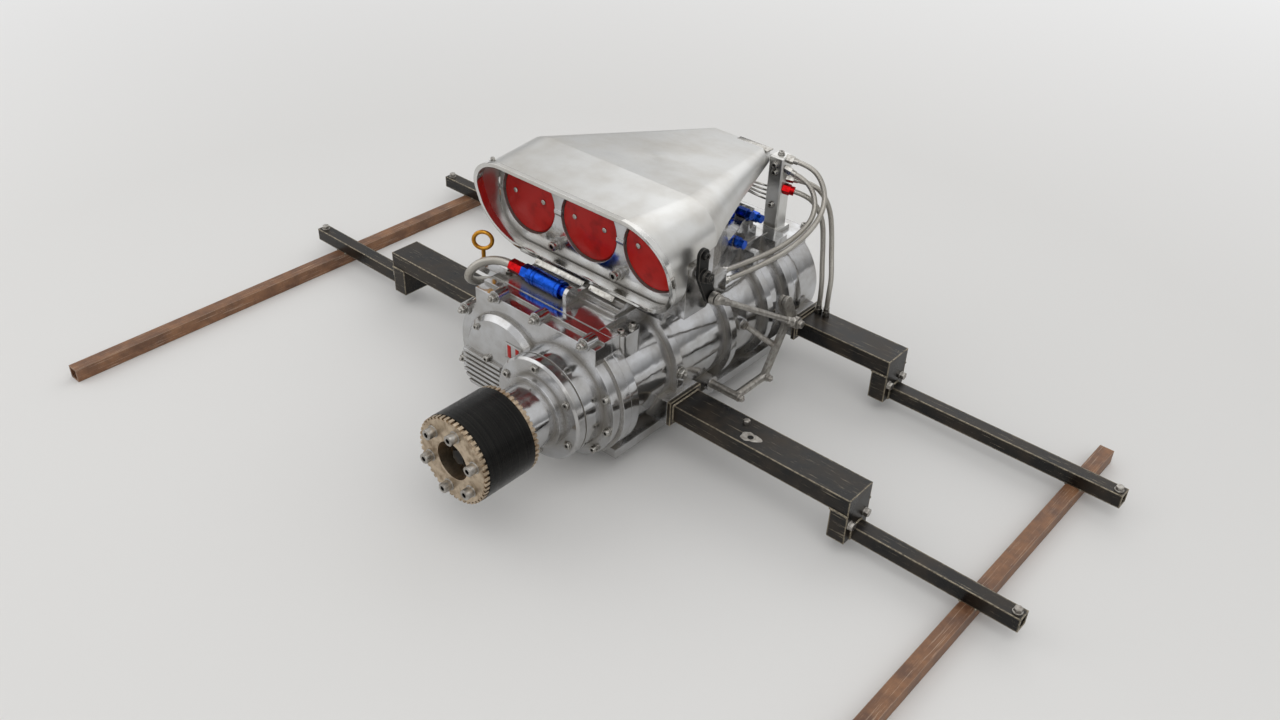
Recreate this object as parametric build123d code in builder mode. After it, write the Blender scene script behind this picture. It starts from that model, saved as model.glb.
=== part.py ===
from build123d import *
import math
import os

os.makedirs("parts", exist_ok=True)

# Supercharged intake of a drag-style engine bay, standing on the two rails that carry it.
# Millimetres. X to the driver's side, -Y to the front of the car, Z up from the rails' undersides.

# Main places
axis_z = 114.0
rotor_spacing = 104.0
drive_x = rotor_spacing / 2
driven_x = -rotor_spacing / 2
rail_length = 865.0
pulley_setback = 165.0
front_y = pulley_setback - rail_length / 2

# Cradle
rail_size = 20.0
rail_wall = 2.0
rail_centre_x = 587.0
crossbar_size = 20.0
crossbar_wall = 2.0
crossbar_end_x = 649.0
arm_depth = 50.0
arm_height = 25.0
arm_wall = 3.0
arm_top_z = 89.0
arm_plate = 6.0
arm_plate_margin = 6.0
front_arm_reach = 426.0
rear_arm_reach = 307.0
front_arm_back = 99.0
rear_arm_back = 27.0

# Pulley and snout, in lengths along the shaft
pulley_radius = 58.3
pulley_length = 87.0
pulley_rim = 7.0
pulley_teeth = 46
tooth_depth = 3.0
tooth_gap = 3.6
tooth_run_out = 0.5
sleeve_wall = 4.0
sleeve_proud = 0.5
nose_bore_radius = 26.0
nose_bore_depth = 22.0
shaft_radius = 16.0
running_gap = 0.05
pulley_gap = 6.0
nose_radius = 43.0
nose_length = 37.0
ring_radius = 50.0
ring_length = 10.0
barrel_radius = 72.0
retainer_length = 14.0
retainer_chamfer = 3.0
barrel_length = 33.0
groove = 2.0
seat_gap = 0.3

# Blower case and its two covers
bore_gap = 0.6
case_wall = 10.0
case_length = 356.0
flange_radius = 92.0
flange_thickness = 14.0
flange_top = 96.0
flange_bottom = 90.0
flange_flat = 108.0
deck_half = 84.0
deck_top = 97.0
foot_half = 118.0
foot_thickness = 14.0
foot_bolt_width = 212.0
foot_bolt_pitch = 150.0
foot_bolt_radius = 4.2
rib_width = 12.0
rib_proud = 11.0
rib_backs = (98.0, 213.0, 298.0)
cover_length = 30.0
rear_cover_length = 72.0
dome_radius = 70.0
dome_height = 12.0
dome_chamfer = 7.0
fin_count = 7
fin_pitch = 8.0
fin_proud = 4.0
fin_top = 5.0
fin_reach = 80.0
fin_inner_x = -50.0
fin_outer_x = -122.0
cover_step = 4.0
rear_cover_step = 8.0
cap_radius = 34.0
cap_thickness = 6.0
cap_chamfer = 2.0
pad_proud = 3.0
port_width = 96.0
port_wall = 25.0
ear_radius = 9.0
ear_proud = 3.0
lug_length = 42.0
lug_reach = 110.0
lug_bottom = 55.0
lug_drop = 8.0
lug_corner = 10.0
ring_lug_reach = 156.0
ring_lug_width = 16.0
ring_lug_top = 91.0
ring_lug_thickness = 10.0

# Hat base, injector body and scoop, in distances behind the case's front and above the rotor axis
base_half = 80.0
base_height = 18.0
base_setback = 62.0
base_length = 270.0
step_count = 3
step_run = 9.0
step_rise = 4.0
scoop_half = 166.0
scoop_low = 118.0
scoop_high = 248.0
scoop_wall = 2.5
lip_bottom_setback = 53.0
lip_rake = 37.0
lip_proud = 3.5
lip_depth = 6.0
lip_reach = scoop_half + 2 * lip_proud
scoop_gap = 0.5
butterfly_pitch = 109.0
butterfly_radius = 48.5
butterfly_gap = 0.5
butterfly_thickness = 3.0
throttle_setback = 79.0
throttle_height = (scoop_low + scoop_high) / 2
throttle_plate = 16.0
throttle_shaft_radius = 5.0
foot_back = 114.0
foot_top_half = 150.0
foot_bottom_half = 128.0
shaft_boss_radius = 9.0
shaft_boss_proud = 5.0
web_boss_radius = 8.5
web_boss_proud = 4.5
web_boss_height = 137.0
hose_pad_reach = 150.0
hose_pad_inner = 120.0
hose_pad_back = 171.0
hose_pad_length = 48.0
hose_pad_bottom = 106.0
hose_pad_top = 140.0
body_floor = 5.0
plenum_height = 24.0
chamber_half = 115.0

# Throttle linkage on the driver's side
linkage_clearance = 16.0
linkage_x = scoop_half + linkage_clearance
lever_reach = 42.0
lever_lean = 26.0
lever_tail = 27.0
rod_back = 198.0
rod_drop = 128.0
rod_radius = 4.0
pin_radius = 4.0
plate_thickness = 5.0
link_gap = 2.0

# Linkage bracket: two bosses on the case carry a bent tube and a stay
boss_radius = 11.0
boss_back = 185.0
boss_drop = 58.0
stay_boss_radius = 9.0
stay_boss_back = 238.0
stay_boss_rise = 18.0
stay_boss_proud = 6.0
tube_radius = 6.0
tube_run = 66.0
stay_radius = 4.0
stay_foot = 5.0
stay_foot_radius = 6.0
arm_bar_width = 16.0
lever_width = 18.0
eye_radius = 8.5
eye_thickness = 7.0
open_eye_gap = 0.3

# Fuel lines: filter on the deck, block on the rear cover, hoses and their ends
filter_back = 22.0
filter_gap = 1.0
filter_radius = 12.0
filter_nut_radius = 11.5
filter_end_x = 12.0
filter_nut_length = 12.0
filter_start_x = -56.0
filter_stub_radius = 8.0
filter_stub_length = 10.0
filter_seat_radius = 11.0
filter_seat_thickness = 6.0
red_nut_radius = 9.5
block_x = 73.0
block_setback = 31.0
block_size = 24.0
block_top = 204.0
block_chamfer = 2.0
block_foot = 32.0
block_foot_thickness = 6.0
port_radius = 3.5
port_depth = 8.0
hose_radius = 3.75
feed_hose_radius = 6.0
bend_share = 0.45
end_nut_radius = 6.0
end_nut_length = 8.0
end_collar_length = 6.0
red_end_radius = 8.0
end_root = 4.0
end_wall = 1.5
feed_nut_radius = 9.0
blue_nut_radius = 7.5
blue_nut_length = 16.0
blue_collar_length = 7.0
pull_ring_radius = 12.5
pull_ring_wire = 2.8
pull_ring_turn = 40.0
pull_ring_stem = 22.0
pull_ring_foot = 5.5

rotor_pitch_radius = rotor_spacing / 2
rolling_radius = rotor_pitch_radius / 6
rotor_tip = rotor_pitch_radius + 2 * rolling_radius
rotor_shrink = 0.5
bore_radius = rotor_tip + bore_gap
lobe_radius = bore_radius + case_wall
rib_radius = lobe_radius + rib_proud
pad_reach = drive_x + rib_radius + pad_proud
boss_reach = drive_x + lobe_radius
stay_boss_reach = boss_reach + stay_boss_proud

# Stations along the car, from the pulley's front face to the rear cover
pulley_back_y = front_y + pulley_length
nose_y = pulley_back_y + pulley_gap
ring_y = nose_y + nose_length
retainer_y = ring_y + ring_length
barrel_y = retainer_y + retainer_length
cover_y = barrel_y + barrel_length
case_y = cover_y + cover_length
case_back_y = case_y + case_length
port_length = base_length - 2 * port_wall
port_back = base_setback + base_length - port_wall
body_back = base_setback + base_length
rear_y = case_back_y + rear_cover_length
front_arm_y = case_y + front_arm_back
rear_arm_y = case_back_y + rear_arm_back


def station(y):
    """A plane facing the front of the car, with local x and y along X and Z."""
    return Plane.XZ.offset(-y)


def side_plane(x):
    """A plane facing the driver's side, with local x and y along Y and Z."""
    return Plane.YZ.offset(x)


def shaft_plane(x):
    """The level plane through the shaft axes, centred on one of them: local x is the radius."""
    return Plane(origin=(x, 0, axis_z), x_dir=(1, 0, 0), z_dir=(0, 0, 1))


def save(piece, label):
    piece.part.label = label
    export_step(piece.part, f"parts/{label}.step")


# Rails, crossbars and arms
for side, sign in (("left", -1), ("right", 1)):
    with BuildPart() as rail:
        with BuildSketch(station(-rail_length / 2)):
            with Locations((sign * rail_centre_x, rail_size / 2)):
                Rectangle(rail_size, rail_size)
                Rectangle(rail_size - 2 * rail_wall, rail_size - 2 * rail_wall, mode=Mode.SUBTRACT)
        extrude(amount=-rail_length)
    save(rail, f"rail_{side}")

    # name, centre along the car, outer end, inner end at the casting
    for place, centre_y, reach, inner in (
        ("front", front_arm_y, front_arm_reach, pad_reach),
        ("rear", rear_arm_y, rear_arm_reach, pad_reach),
    ):
        with BuildPart() as crossbar:
            with BuildSketch(side_plane(sign * reach)):
                with Locations((centre_y, rail_size + crossbar_size / 2)):
                    Rectangle(crossbar_size, crossbar_size)
                    hollow = crossbar_size - 2 * crossbar_wall
                    Rectangle(hollow, hollow, mode=Mode.SUBTRACT)
            extrude(amount=sign * (crossbar_end_x - reach))
        save(crossbar, f"crossbar_{place}_{side}")

        with BuildPart() as arm:
            with BuildSketch(side_plane(sign * inner)):
                with Locations((centre_y, arm_top_z - arm_height / 2)):
                    Rectangle(arm_depth, arm_height)
                    Rectangle(arm_depth - 2 * arm_wall, arm_height - 2 * arm_wall, mode=Mode.SUBTRACT)
            extrude(amount=sign * (reach - arm_wall - inner))
            with BuildSketch(side_plane(sign * (reach - arm_wall))):
                with Locations((centre_y, arm_top_z - arm_height / 2)):
                    Rectangle(arm_depth, arm_height)
            extrude(amount=sign * arm_wall)
            with BuildSketch(Plane.XY.offset(arm_top_z - arm_height)):
                with Locations((sign * (reach - arm_height / 2), centre_y)):
                    Rectangle(arm_height, arm_depth)
                    Rectangle(arm_height - 2 * arm_wall, arm_depth - 2 * arm_wall, mode=Mode.SUBTRACT)
            extrude(amount=-(arm_top_z - arm_height - rail_size))
            with BuildSketch(side_plane(sign * inner)):
                with Locations((centre_y, arm_top_z - arm_height / 2)):
                    Rectangle(arm_depth + 2 * arm_plate_margin, arm_height + 2 * arm_plate_margin)
            extrude(amount=sign * arm_plate)
        save(arm, f"arm_{place}_{side}")


def rotor_profile(turn):
    """Three cycloidal lobes: epicycloid tips and hypocycloid roots on one pitch circle."""
    pitch, rolling = rotor_pitch_radius, rolling_radius

    def point(angle, outward):
        sign = 1 if outward else -1
        around = math.radians(angle)
        ratio = (pitch + sign * rolling) / rolling
        x = (pitch + sign * rolling) * math.cos(around) - sign * rolling * math.cos(ratio * around)
        y = (pitch + sign * rolling) * math.sin(around) - rolling * math.sin(ratio * around)
        return Vector(x, y).rotate(Axis.Z, turn)

    for arc in range(6):
        outward = arc % 2 == 0
        start = arc * 60
        flank = [point(angle, outward).rotate(Axis.Z, start) for angle in (0, 15, 30, 45, 60)]
        ThreePointArc(flank[0], flank[1], flank[2])
        ThreePointArc(flank[2], flank[3], flank[4])


# Rotors, in mesh at rest: a lobe of one lies in a root of the other
for label, centre_x, turn in (("rotor_drive", drive_x, -30.0), ("rotor_driven", driven_x, -30.0)):
    with BuildPart() as rotor:
        rotor_face = station(case_y + bore_gap)
        rotor_face.origin = (centre_x, case_y + bore_gap, axis_z)
        with BuildSketch(rotor_face):
            with BuildLine():
                rotor_profile(turn)
            make_face()
            offset(amount=-rotor_shrink)
        extrude(amount=-(case_length - 2 * bore_gap))
        with BuildSketch(station(cover_y)):
            with Locations((centre_x, axis_z)):
                Circle(shaft_radius)
        extrude(amount=-(rear_y - cap_thickness - cover_y))
    save(rotor, label)


def casting_outline(radius, top, bottom):
    """Both bearing circles under one flat top, as the covers and the case's end flanges have."""
    with Locations((drive_x, axis_z), (driven_x, axis_z)):
        Circle(radius)
    with Locations((0, axis_z + top / 2)):
        Rectangle(2 * flange_flat, top)
    with Locations((0, axis_z - bottom / 2)):
        Rectangle(rotor_spacing, bottom)


# Blower case: two lobes, a level deck, a foot flange, end flanges and three straps
with BuildPart() as case:
    with BuildSketch(station(case_y)):
        with Locations((drive_x, axis_z), (driven_x, axis_z)):
            Circle(lobe_radius)
        with Locations((0, axis_z + deck_top / 2)):
            Rectangle(2 * deck_half, deck_top)
        with Locations((0, axis_z - flange_bottom / 2)):
            Rectangle(rotor_spacing, flange_bottom)
        with Locations((0, axis_z - flange_bottom + foot_thickness / 2)):
            Rectangle(2 * foot_half, foot_thickness)
    extrude(amount=-case_length)
    for rib_back in rib_backs:
        with BuildSketch(station(case_y + rib_back - rib_width / 2)):
            casting_outline(rib_radius, deck_top, flange_bottom)
        extrude(amount=-rib_width)
    for end_y in (case_y, case_back_y - flange_thickness):
        with BuildSketch(station(end_y)):
            casting_outline(flange_radius, flange_top, flange_bottom)
        extrude(amount=-flange_thickness)
    with BuildSketch(Plane.XY.offset(arm_top_z - arm_height - arm_plate_margin)):
        with Locations((0, front_arm_y)):
            Rectangle(2 * pad_reach, arm_depth + 2 * arm_plate_margin)
    extrude(amount=arm_height + 2 * arm_plate_margin)
    with BuildSketch(side_plane(drive_x)):
        with Locations((case_y + boss_back, axis_z - boss_drop)):
            Circle(boss_radius)
    extrude(amount=boss_reach - drive_x)
    with BuildSketch(side_plane(drive_x)):
        with Locations((case_y + stay_boss_back, axis_z + stay_boss_rise)):
            Circle(stay_boss_radius)
    extrude(amount=stay_boss_reach - drive_x)
    with BuildSketch(Plane.XY.offset(axis_z + deck_top - lug_drop)):
        with Locations((0, case_y + flange_thickness + lug_length / 2)):
            RectangleRounded(2 * lug_reach, lug_length, lug_corner)
    extrude(amount=-(deck_top - lug_drop - lug_bottom))
    with BuildSketch(Plane.XY.offset(axis_z + ring_lug_top)):
        with Locations((-ring_lug_reach / 2, case_y + flange_thickness + ring_lug_width / 2)):
            Rectangle(ring_lug_reach, ring_lug_width)
    extrude(amount=-ring_lug_thickness)
    with BuildSketch(station(case_y)):
        with Locations((drive_x, axis_z), (driven_x, axis_z)):
            Circle(bore_radius)
    extrude(amount=-case_length, mode=Mode.SUBTRACT)
    with BuildSketch(Plane.XY.offset(axis_z)):
        with Locations((0, case_y + base_setback + base_length / 2)):
            Rectangle(port_width, port_length)
    extrude(amount=deck_top, mode=Mode.SUBTRACT)
    with BuildSketch(Plane.XY.offset(axis_z)):
        with Locations((0, case_y + case_length / 2)):
            Rectangle(port_width, port_length)
    extrude(amount=-flange_bottom, mode=Mode.SUBTRACT)
    with Locations(Plane.XY.offset(axis_z - flange_bottom)):
        with Locations((0, case_y + case_length / 2)):
            with GridLocations(foot_bolt_width, foot_bolt_pitch, 2, 3):
                Hole(foot_bolt_radius, depth=foot_thickness)
save(case, "blower_case")

# Front cover: gear housing with a dome over the driven rotor, cooling fins and the snout's seat
# Bolt ears round its rim: side, height above the rotor axis
cover_ears = ((-68.0, 94.0), (7.0, 94.0), (90.0, 94.0), (-129.0, 50.0), (-133.0, -30.0))
with BuildPart() as cover:
    with BuildSketch(station(cover_y)):
        casting_outline(flange_radius - cover_step, flange_top - cover_step, flange_bottom - cover_step)
    extrude(amount=-cover_length)
    with BuildSketch(station(case_y - flange_thickness)):
        casting_outline(flange_radius, flange_top, flange_bottom)
    extrude(amount=-flange_thickness)
    with BuildSketch(station(cover_y)):
        with Locations((driven_x, axis_z)):
            Circle(dome_radius)
    extrude(amount=dome_height)
    chamfer(cover.faces().sort_by(Axis.Y)[0].outer_wire().edges(), dome_chamfer)
    with BuildSketch(station(cover_y - ear_proud)):
        with Locations(*[(x, axis_z + height) for x, height in cover_ears]):
            Circle(ear_radius)
    extrude(amount=-(cover_length - flange_thickness + ear_proud))
    for fin in range(fin_count):
        with BuildSketch(station(cover_y)):
            with Locations(((fin_inner_x + fin_outer_x) / 2, axis_z - fin_top - fin * fin_pitch)):
                Rectangle(fin_inner_x - fin_outer_x, fin_pitch / 2)
            with Locations((driven_x, axis_z)):
                Circle(fin_reach, mode=Mode.INTERSECT)
        extrude(amount=dome_height + fin_proud)
    with BuildSketch(station(cover_y)):
        with Locations((drive_x, axis_z)):
            Circle(barrel_radius + seat_gap)
    extrude(amount=2 * dome_height, mode=Mode.SUBTRACT)
    with BuildSketch(station(cover_y)):
        with Locations((drive_x, axis_z)):
            Circle(shaft_radius + running_gap)
    extrude(amount=-cover_length, mode=Mode.SUBTRACT)
    with BuildSketch(station(cover_y)):
        with Locations((driven_x, axis_z)):
            Circle(shaft_radius + running_gap)
    extrude(amount=-cover_length, mode=Mode.SUBTRACT)
save(cover, "front_cover")

with BuildPart() as rear_cover:
    with BuildSketch(station(case_back_y)):
        casting_outline(flange_radius, flange_top, flange_bottom)
    extrude(amount=-flange_thickness)
    with BuildSketch(station(case_back_y)):
        casting_outline(
            flange_radius - rear_cover_step, flange_top - rear_cover_step, flange_bottom - rear_cover_step
        )
    extrude(amount=-(rear_cover_length - cap_thickness))
    with BuildSketch(Plane.XY.offset(arm_top_z - arm_height - arm_plate_margin)):
        with Locations((0, rear_arm_y)):
            Rectangle(2 * pad_reach, arm_depth)
    extrude(amount=arm_height + 2 * arm_plate_margin)
    with BuildSketch(station(case_back_y)):
        with Locations((drive_x, axis_z), (driven_x, axis_z)):
            Circle(shaft_radius + running_gap)
    extrude(amount=-rear_cover_length, mode=Mode.SUBTRACT)
save(rear_cover, "rear_cover")

for label, centre_x in (("rear_cap_right", drive_x), ("rear_cap_left", driven_x)):
    with BuildPart() as cap:
        with BuildSketch(station(rear_y - cap_thickness)):
            with Locations((centre_x, axis_z)):
                Circle(cap_radius)
        extrude(amount=-cap_thickness)
        chamfer(cap.edges().group_by(Axis.Y)[-1], cap_chamfer)
    save(cap, label)

# Snout: a slim nose, a ring, a retainer and the barrel against the front cover
with BuildPart() as nose:
    with BuildSketch(shaft_plane(drive_x)):
        with BuildLine():
            Polyline(
                (shaft_radius + running_gap, nose_y),
                (nose_radius, nose_y),
                (nose_radius, ring_y),
                (ring_radius, ring_y),
                (ring_radius, retainer_y),
                (shaft_radius + running_gap, retainer_y),
                close=True,
            )
        make_face()
    revolve(axis=Axis((drive_x, 0, axis_z), (0, 1, 0)))
save(nose, "snout_nose")

with BuildPart() as retainer:
    with BuildSketch(shaft_plane(drive_x)):
        with BuildLine():
            Polyline(
                (shaft_radius + running_gap, retainer_y),
                (barrel_radius - retainer_chamfer, retainer_y),
                (barrel_radius, retainer_y + retainer_chamfer),
                (barrel_radius, barrel_y),
                (shaft_radius + running_gap, barrel_y),
                close=True,
            )
        make_face()
    revolve(axis=Axis((drive_x, 0, axis_z), (0, 1, 0)))
save(retainer, "snout_retainer")

with BuildPart() as barrel:
    with BuildSketch(shaft_plane(drive_x)):
        with BuildLine():
            Polyline(
                (shaft_radius + running_gap, barrel_y),
                (barrel_radius - groove, barrel_y),
                (barrel_radius - groove, barrel_y + groove),
                (barrel_radius, barrel_y + groove),
                (barrel_radius, cover_y),
                (shaft_radius + running_gap, cover_y),
                close=True,
            )
        make_face()
    revolve(axis=Axis((drive_x, 0, axis_z), (0, 1, 0)))
save(barrel, "snout_barrel")

# Drive shaft, from the rotor through the snout to the pulley's nose
with BuildPart() as shaft:
    with BuildSketch(station(front_y + nose_bore_depth)):
        with Locations((drive_x, axis_z)):
            Circle(shaft_radius)
    extrude(amount=-(cover_y - front_y - nose_bore_depth))
save(shaft, "drive_shaft")

# Cog pulley: toothed rims at both ends of a drum
with BuildPart() as pulley:
    with BuildSketch(station(front_y)):
        with Locations((drive_x, axis_z)):
            Circle(pulley_radius - sleeve_wall)
    extrude(amount=-pulley_length)
    for rim_y in (front_y, pulley_back_y - pulley_rim):
        with BuildSketch(station(rim_y)):
            with Locations((drive_x, axis_z)):
                Circle(pulley_radius)
                with PolarLocations(pulley_radius - (tooth_depth - tooth_run_out) / 2, pulley_teeth):
                    Rectangle(tooth_depth + tooth_run_out, tooth_gap, mode=Mode.SUBTRACT)
        extrude(amount=-pulley_rim)
    with BuildSketch(station(front_y)):
        with Locations((drive_x, axis_z)):
            Circle(nose_bore_radius)
    extrude(amount=-nose_bore_depth, mode=Mode.SUBTRACT)
    with BuildSketch(station(front_y)):
        with Locations((drive_x, axis_z)):
            Circle(shaft_radius)
    extrude(amount=-pulley_length, mode=Mode.SUBTRACT)
save(pulley, "cog_pulley")

with BuildPart() as sleeve:
    with BuildSketch(station(front_y + pulley_rim)):
        with Locations((drive_x, axis_z)):
            Circle(pulley_radius + sleeve_proud)
            Circle(pulley_radius - sleeve_wall, mode=Mode.SUBTRACT)
    extrude(amount=-(pulley_length - 2 * pulley_rim))
save(sleeve, "pulley_sleeve")

# Hat base on the case's deck, with steps before it
deck_z = axis_z + deck_top
base_y = case_y + base_setback
base_top_z = deck_z + base_height
filter_y = case_y + filter_back
filter_z = deck_z + filter_radius + filter_gap
with BuildPart() as base:
    with BuildSketch(Plane.XY.offset(deck_z)):
        with Locations((0, base_y + base_length / 2)):
            Rectangle(2 * base_half, base_length)
    extrude(amount=base_height)
    for step in range(step_count):
        reach = (step_count - step) * step_run
        with BuildSketch(Plane.XY.offset(deck_z)):
            with Locations((0, base_y - reach / 2)):
                Rectangle(2 * base_half, reach)
        extrude(amount=(step + 1) * step_rise)
    with BuildSketch(side_plane(filter_end_x)):
        with Locations((filter_y, filter_z)):
            Circle(filter_seat_radius)
        with Locations(((filter_y + base_y) / 2, (deck_z + filter_z) / 2)):
            Rectangle(base_y - filter_y, filter_z - deck_z)
        with Locations((filter_y, (deck_z + filter_z) / 2)):
            Rectangle(2 * filter_seat_radius, filter_z - deck_z)
    extrude(amount=filter_seat_thickness)
    with BuildSketch(Plane.XY.offset(deck_z)):
        with Locations((0, base_y + base_length / 2)):
            Rectangle(port_width, port_length)
    extrude(amount=base_height, mode=Mode.SUBTRACT)
save(base, "hat_base")

lip_bottom_y = case_y + lip_bottom_setback
lip_top_y = lip_bottom_y - lip_rake
throttle_y = case_y + throttle_setback
throttle_z = axis_z + throttle_height
low_z, high_z = axis_z + scoop_low, axis_z + scoop_high

# Scoop sections: distance behind the case's front, half width, lowest and highest edge, corner radius
scoop_sections = (
    (0.0, scoop_half, scoop_low, scoop_high, 64.5),
    (122.0, scoop_half, scoop_low, scoop_high + 3, 46.0),
    (386.0, 57.0, 150.0, 207.0, 14.0),
)

# The shell's lower edge on both sides: distance behind the case's front, height above the rotor axis
shell_edge = (
    (69.0, 100.0),
    (69.0, 197.0),
    (113.0, 198.0),
    (130.0, 203.0),
    (153.0, 206.0),
    (233.0, 205.0),
    (390.0, 191.0),
    (390.0, 100.0),
)
# The injector body's upper edge behind the throats, level with the shell's roof above them
body_edge = (
    (71.0, 300.0),
    (141.0, 300.0),
    (141.0, 238.0),
    (190.0, 168.0),
    (body_back, 140.0),
    (body_back, 100.0),
    (71.0, 100.0),
)
body_plan = ((71.0, 163.0), (113.0, 163.0), (body_back, 74.0))
chamber_plan = (
    (100.0, chamber_half),
    (135.0, chamber_half),
    (180.0, port_width / 2),
    (port_back, port_width / 2),
)


def scoop_solid(inset):
    """The scoop's form between its rounded sections, drawn in by inset."""
    with BuildPart() as form:
        for near, far in zip(scoop_sections, scoop_sections[1:]):
            for setback, half, low, high, corner in (near, far):
                with BuildSketch(station(case_y + setback)):
                    with Locations((0, axis_z + (low + high) / 2)):
                        RectangleRounded(2 * (half - inset), high - low - 2 * inset, corner - inset)
            loft(ruled=True)
    return form.part


def side_points(table):
    """Points of a side view, from distances behind the case's front and heights above the axis."""
    return [(case_y + back, axis_z + height) for back, height in table]


def plan_points(table):
    """Points of a symmetrical plan, from distances behind the case's front and half widths."""
    right = [(half, case_y + back) for back, half in table]
    return right + [(-x, y) for x, y in reversed(right)]


with BuildPart() as scoop:
    add(scoop_solid(-lip_proud))
    with BuildSketch(side_plane(-lip_reach)):
        with BuildLine():
            Polyline(
                (lip_bottom_y, low_z),
                (lip_top_y, high_z),
                (lip_top_y, high_z + lip_depth),
                (lip_top_y + lip_depth, high_z + lip_depth),
                (lip_bottom_y + lip_depth, low_z - lip_depth),
                (lip_bottom_y, low_z - lip_depth),
                close=True,
            )
        make_face()
    extrude(amount=2 * lip_reach, mode=Mode.INTERSECT)
    add(scoop_solid(0.0))
    add(scoop_solid(scoop_wall), mode=Mode.SUBTRACT)
    with BuildSketch(side_plane(-lip_reach)):
        with BuildLine():
            Polyline(
                (lip_bottom_y, low_z - lip_depth),
                (lip_bottom_y, low_z),
                (lip_top_y, high_z),
                (lip_top_y, high_z + lip_depth),
                (case_y - lip_depth, high_z + lip_depth),
                (case_y - lip_depth, low_z - lip_depth),
                close=True,
            )
        make_face()
    extrude(amount=2 * lip_reach, mode=Mode.SUBTRACT)
    with BuildSketch(side_plane(-lip_reach)):
        with BuildLine():
            Polyline(*side_points(shell_edge), close=True)
        make_face()
    extrude(amount=2 * lip_reach, mode=Mode.SUBTRACT)
save(scoop, "scoop")

# Injector body: a plate with three throats in the scoop, a foot on the deck and a plenum to the rear
throat_plane = Plane(origin=(0, throttle_y, throttle_z), x_dir=(1, 0, 0), z_dir=(0, -1, 0))
body_front_y = throttle_y - throttle_plate / 2
with BuildPart() as filling:
    add(scoop_solid(scoop_wall + scoop_gap))
    with BuildSketch(side_plane(-scoop_half)):
        with BuildLine():
            Polyline(*side_points(body_edge), close=True)
        make_face()
    extrude(amount=2 * scoop_half, mode=Mode.INTERSECT)
with BuildPart() as body:
    with BuildSketch(Plane.XY.offset(base_top_z)):
        with BuildLine():
            Polyline(*plan_points(body_plan), close=True)
        make_face()
    extrude(amount=throttle_z - base_top_z)
    with BuildSketch(side_plane(-scoop_half)):
        with BuildLine():
            Polyline(*side_points(body_edge), close=True)
        make_face()
    extrude(amount=2 * scoop_half, mode=Mode.INTERSECT)
    add(filling.part)
    with BuildSketch(station(body_front_y)):
        with BuildLine():
            Polyline(
                (-foot_top_half, throttle_z),
                (foot_top_half, throttle_z),
                (foot_bottom_half, deck_z),
                (-foot_bottom_half, deck_z),
                close=True,
            )
        make_face()
    extrude(amount=-(case_y + foot_back - body_front_y))
    with BuildSketch(Plane.XY.offset(deck_z)):
        with Locations((0, base_y + base_length / 2)):
            Rectangle(2 * (base_half + seat_gap), base_length)
    extrude(amount=base_height, mode=Mode.SUBTRACT)
    with BuildSketch(side_plane(-scoop_half - shaft_boss_proud)):
        with Locations((throttle_y, throttle_z)):
            Circle(shaft_boss_radius)
    extrude(amount=2 * (scoop_half + shaft_boss_proud))
    with BuildSketch(Plane.XY.offset(base_top_z)):
        with Locations((0, base_y + base_length / 2)):
            Rectangle(port_width, port_length)
    extrude(amount=plenum_height, mode=Mode.SUBTRACT)
    # The chamber behind the throats is high in front and runs down to the port
    with BuildSketch(Plane.XY.offset(base_top_z + body_floor)):
        with BuildLine():
            Polyline(*plan_points(chamber_plan), close=True)
        make_face()
    extrude(amount=plenum_height - body_floor, mode=Mode.SUBTRACT)
    with BuildSketch(Plane.XY.offset(base_top_z + body_floor)):
        with Locations((0, case_y + (chamber_plan[0][0] + chamber_plan[1][0]) / 2)):
            Rectangle(2 * chamber_half, chamber_plan[1][0] - chamber_plan[0][0])
    extrude(amount=throttle_z - base_top_z - body_floor, mode=Mode.SUBTRACT)
    with BuildSketch(station(body_front_y)):
        with Locations((0, axis_z + web_boss_height)):
            with GridLocations(butterfly_pitch, 1, 2, 1):
                Circle(web_boss_radius)
    extrude(amount=web_boss_proud)
    with BuildSketch(Plane.XY.offset(axis_z + hose_pad_bottom)):
        with Locations(
            ((hose_pad_inner + hose_pad_reach) / 2, case_y + hose_pad_back - hose_pad_length / 2)
        ):
            Rectangle(hose_pad_reach - hose_pad_inner, hose_pad_length)
    extrude(amount=hose_pad_top - hose_pad_bottom)
    with BuildSketch(station(body_front_y)):
        with Locations((0, throttle_z)):
            with GridLocations(butterfly_pitch, 1, 3, 1):
                Circle(butterfly_radius + butterfly_gap)
    extrude(amount=-throttle_plate, mode=Mode.SUBTRACT)
    with Locations((0, throttle_y, throttle_z)):
        with GridLocations(butterfly_pitch, 1, 3, 1):
            Sphere(butterfly_radius + butterfly_gap, mode=Mode.SUBTRACT)
    with BuildSketch(side_plane(-scoop_half - shaft_boss_proud)):
        with Locations((throttle_y, throttle_z)):
            Circle(throttle_shaft_radius + running_gap)
    extrude(amount=2 * (scoop_half + shaft_boss_proud), mode=Mode.SUBTRACT)
save(body, "injector_body")

# Butterflies on one shaft, shut at rest
with BuildPart() as throttle_shaft:
    with BuildSketch(side_plane(-scoop_half)):
        with Locations((throttle_y, throttle_z)):
            Circle(throttle_shaft_radius)
    extrude(amount=scoop_half + linkage_x - plate_thickness)
    with BuildSketch(throat_plane):
        with GridLocations(butterfly_pitch, 1, 3, 1):
            Rectangle(2 * butterfly_radius, 4 * throttle_shaft_radius)
    extrude(amount=butterfly_thickness / 2, both=True, mode=Mode.SUBTRACT)
save(throttle_shaft, "throttle_shaft")

for label, column in (("butterfly_left", -1), ("butterfly_middle", 0), ("butterfly_right", 1)):
    with BuildPart() as butterfly:
        with BuildSketch(throat_plane):
            with Locations((column * butterfly_pitch, 0)):
                Circle(butterfly_radius)
        extrude(amount=butterfly_thickness / 2, both=True)
    save(butterfly, label)

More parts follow.
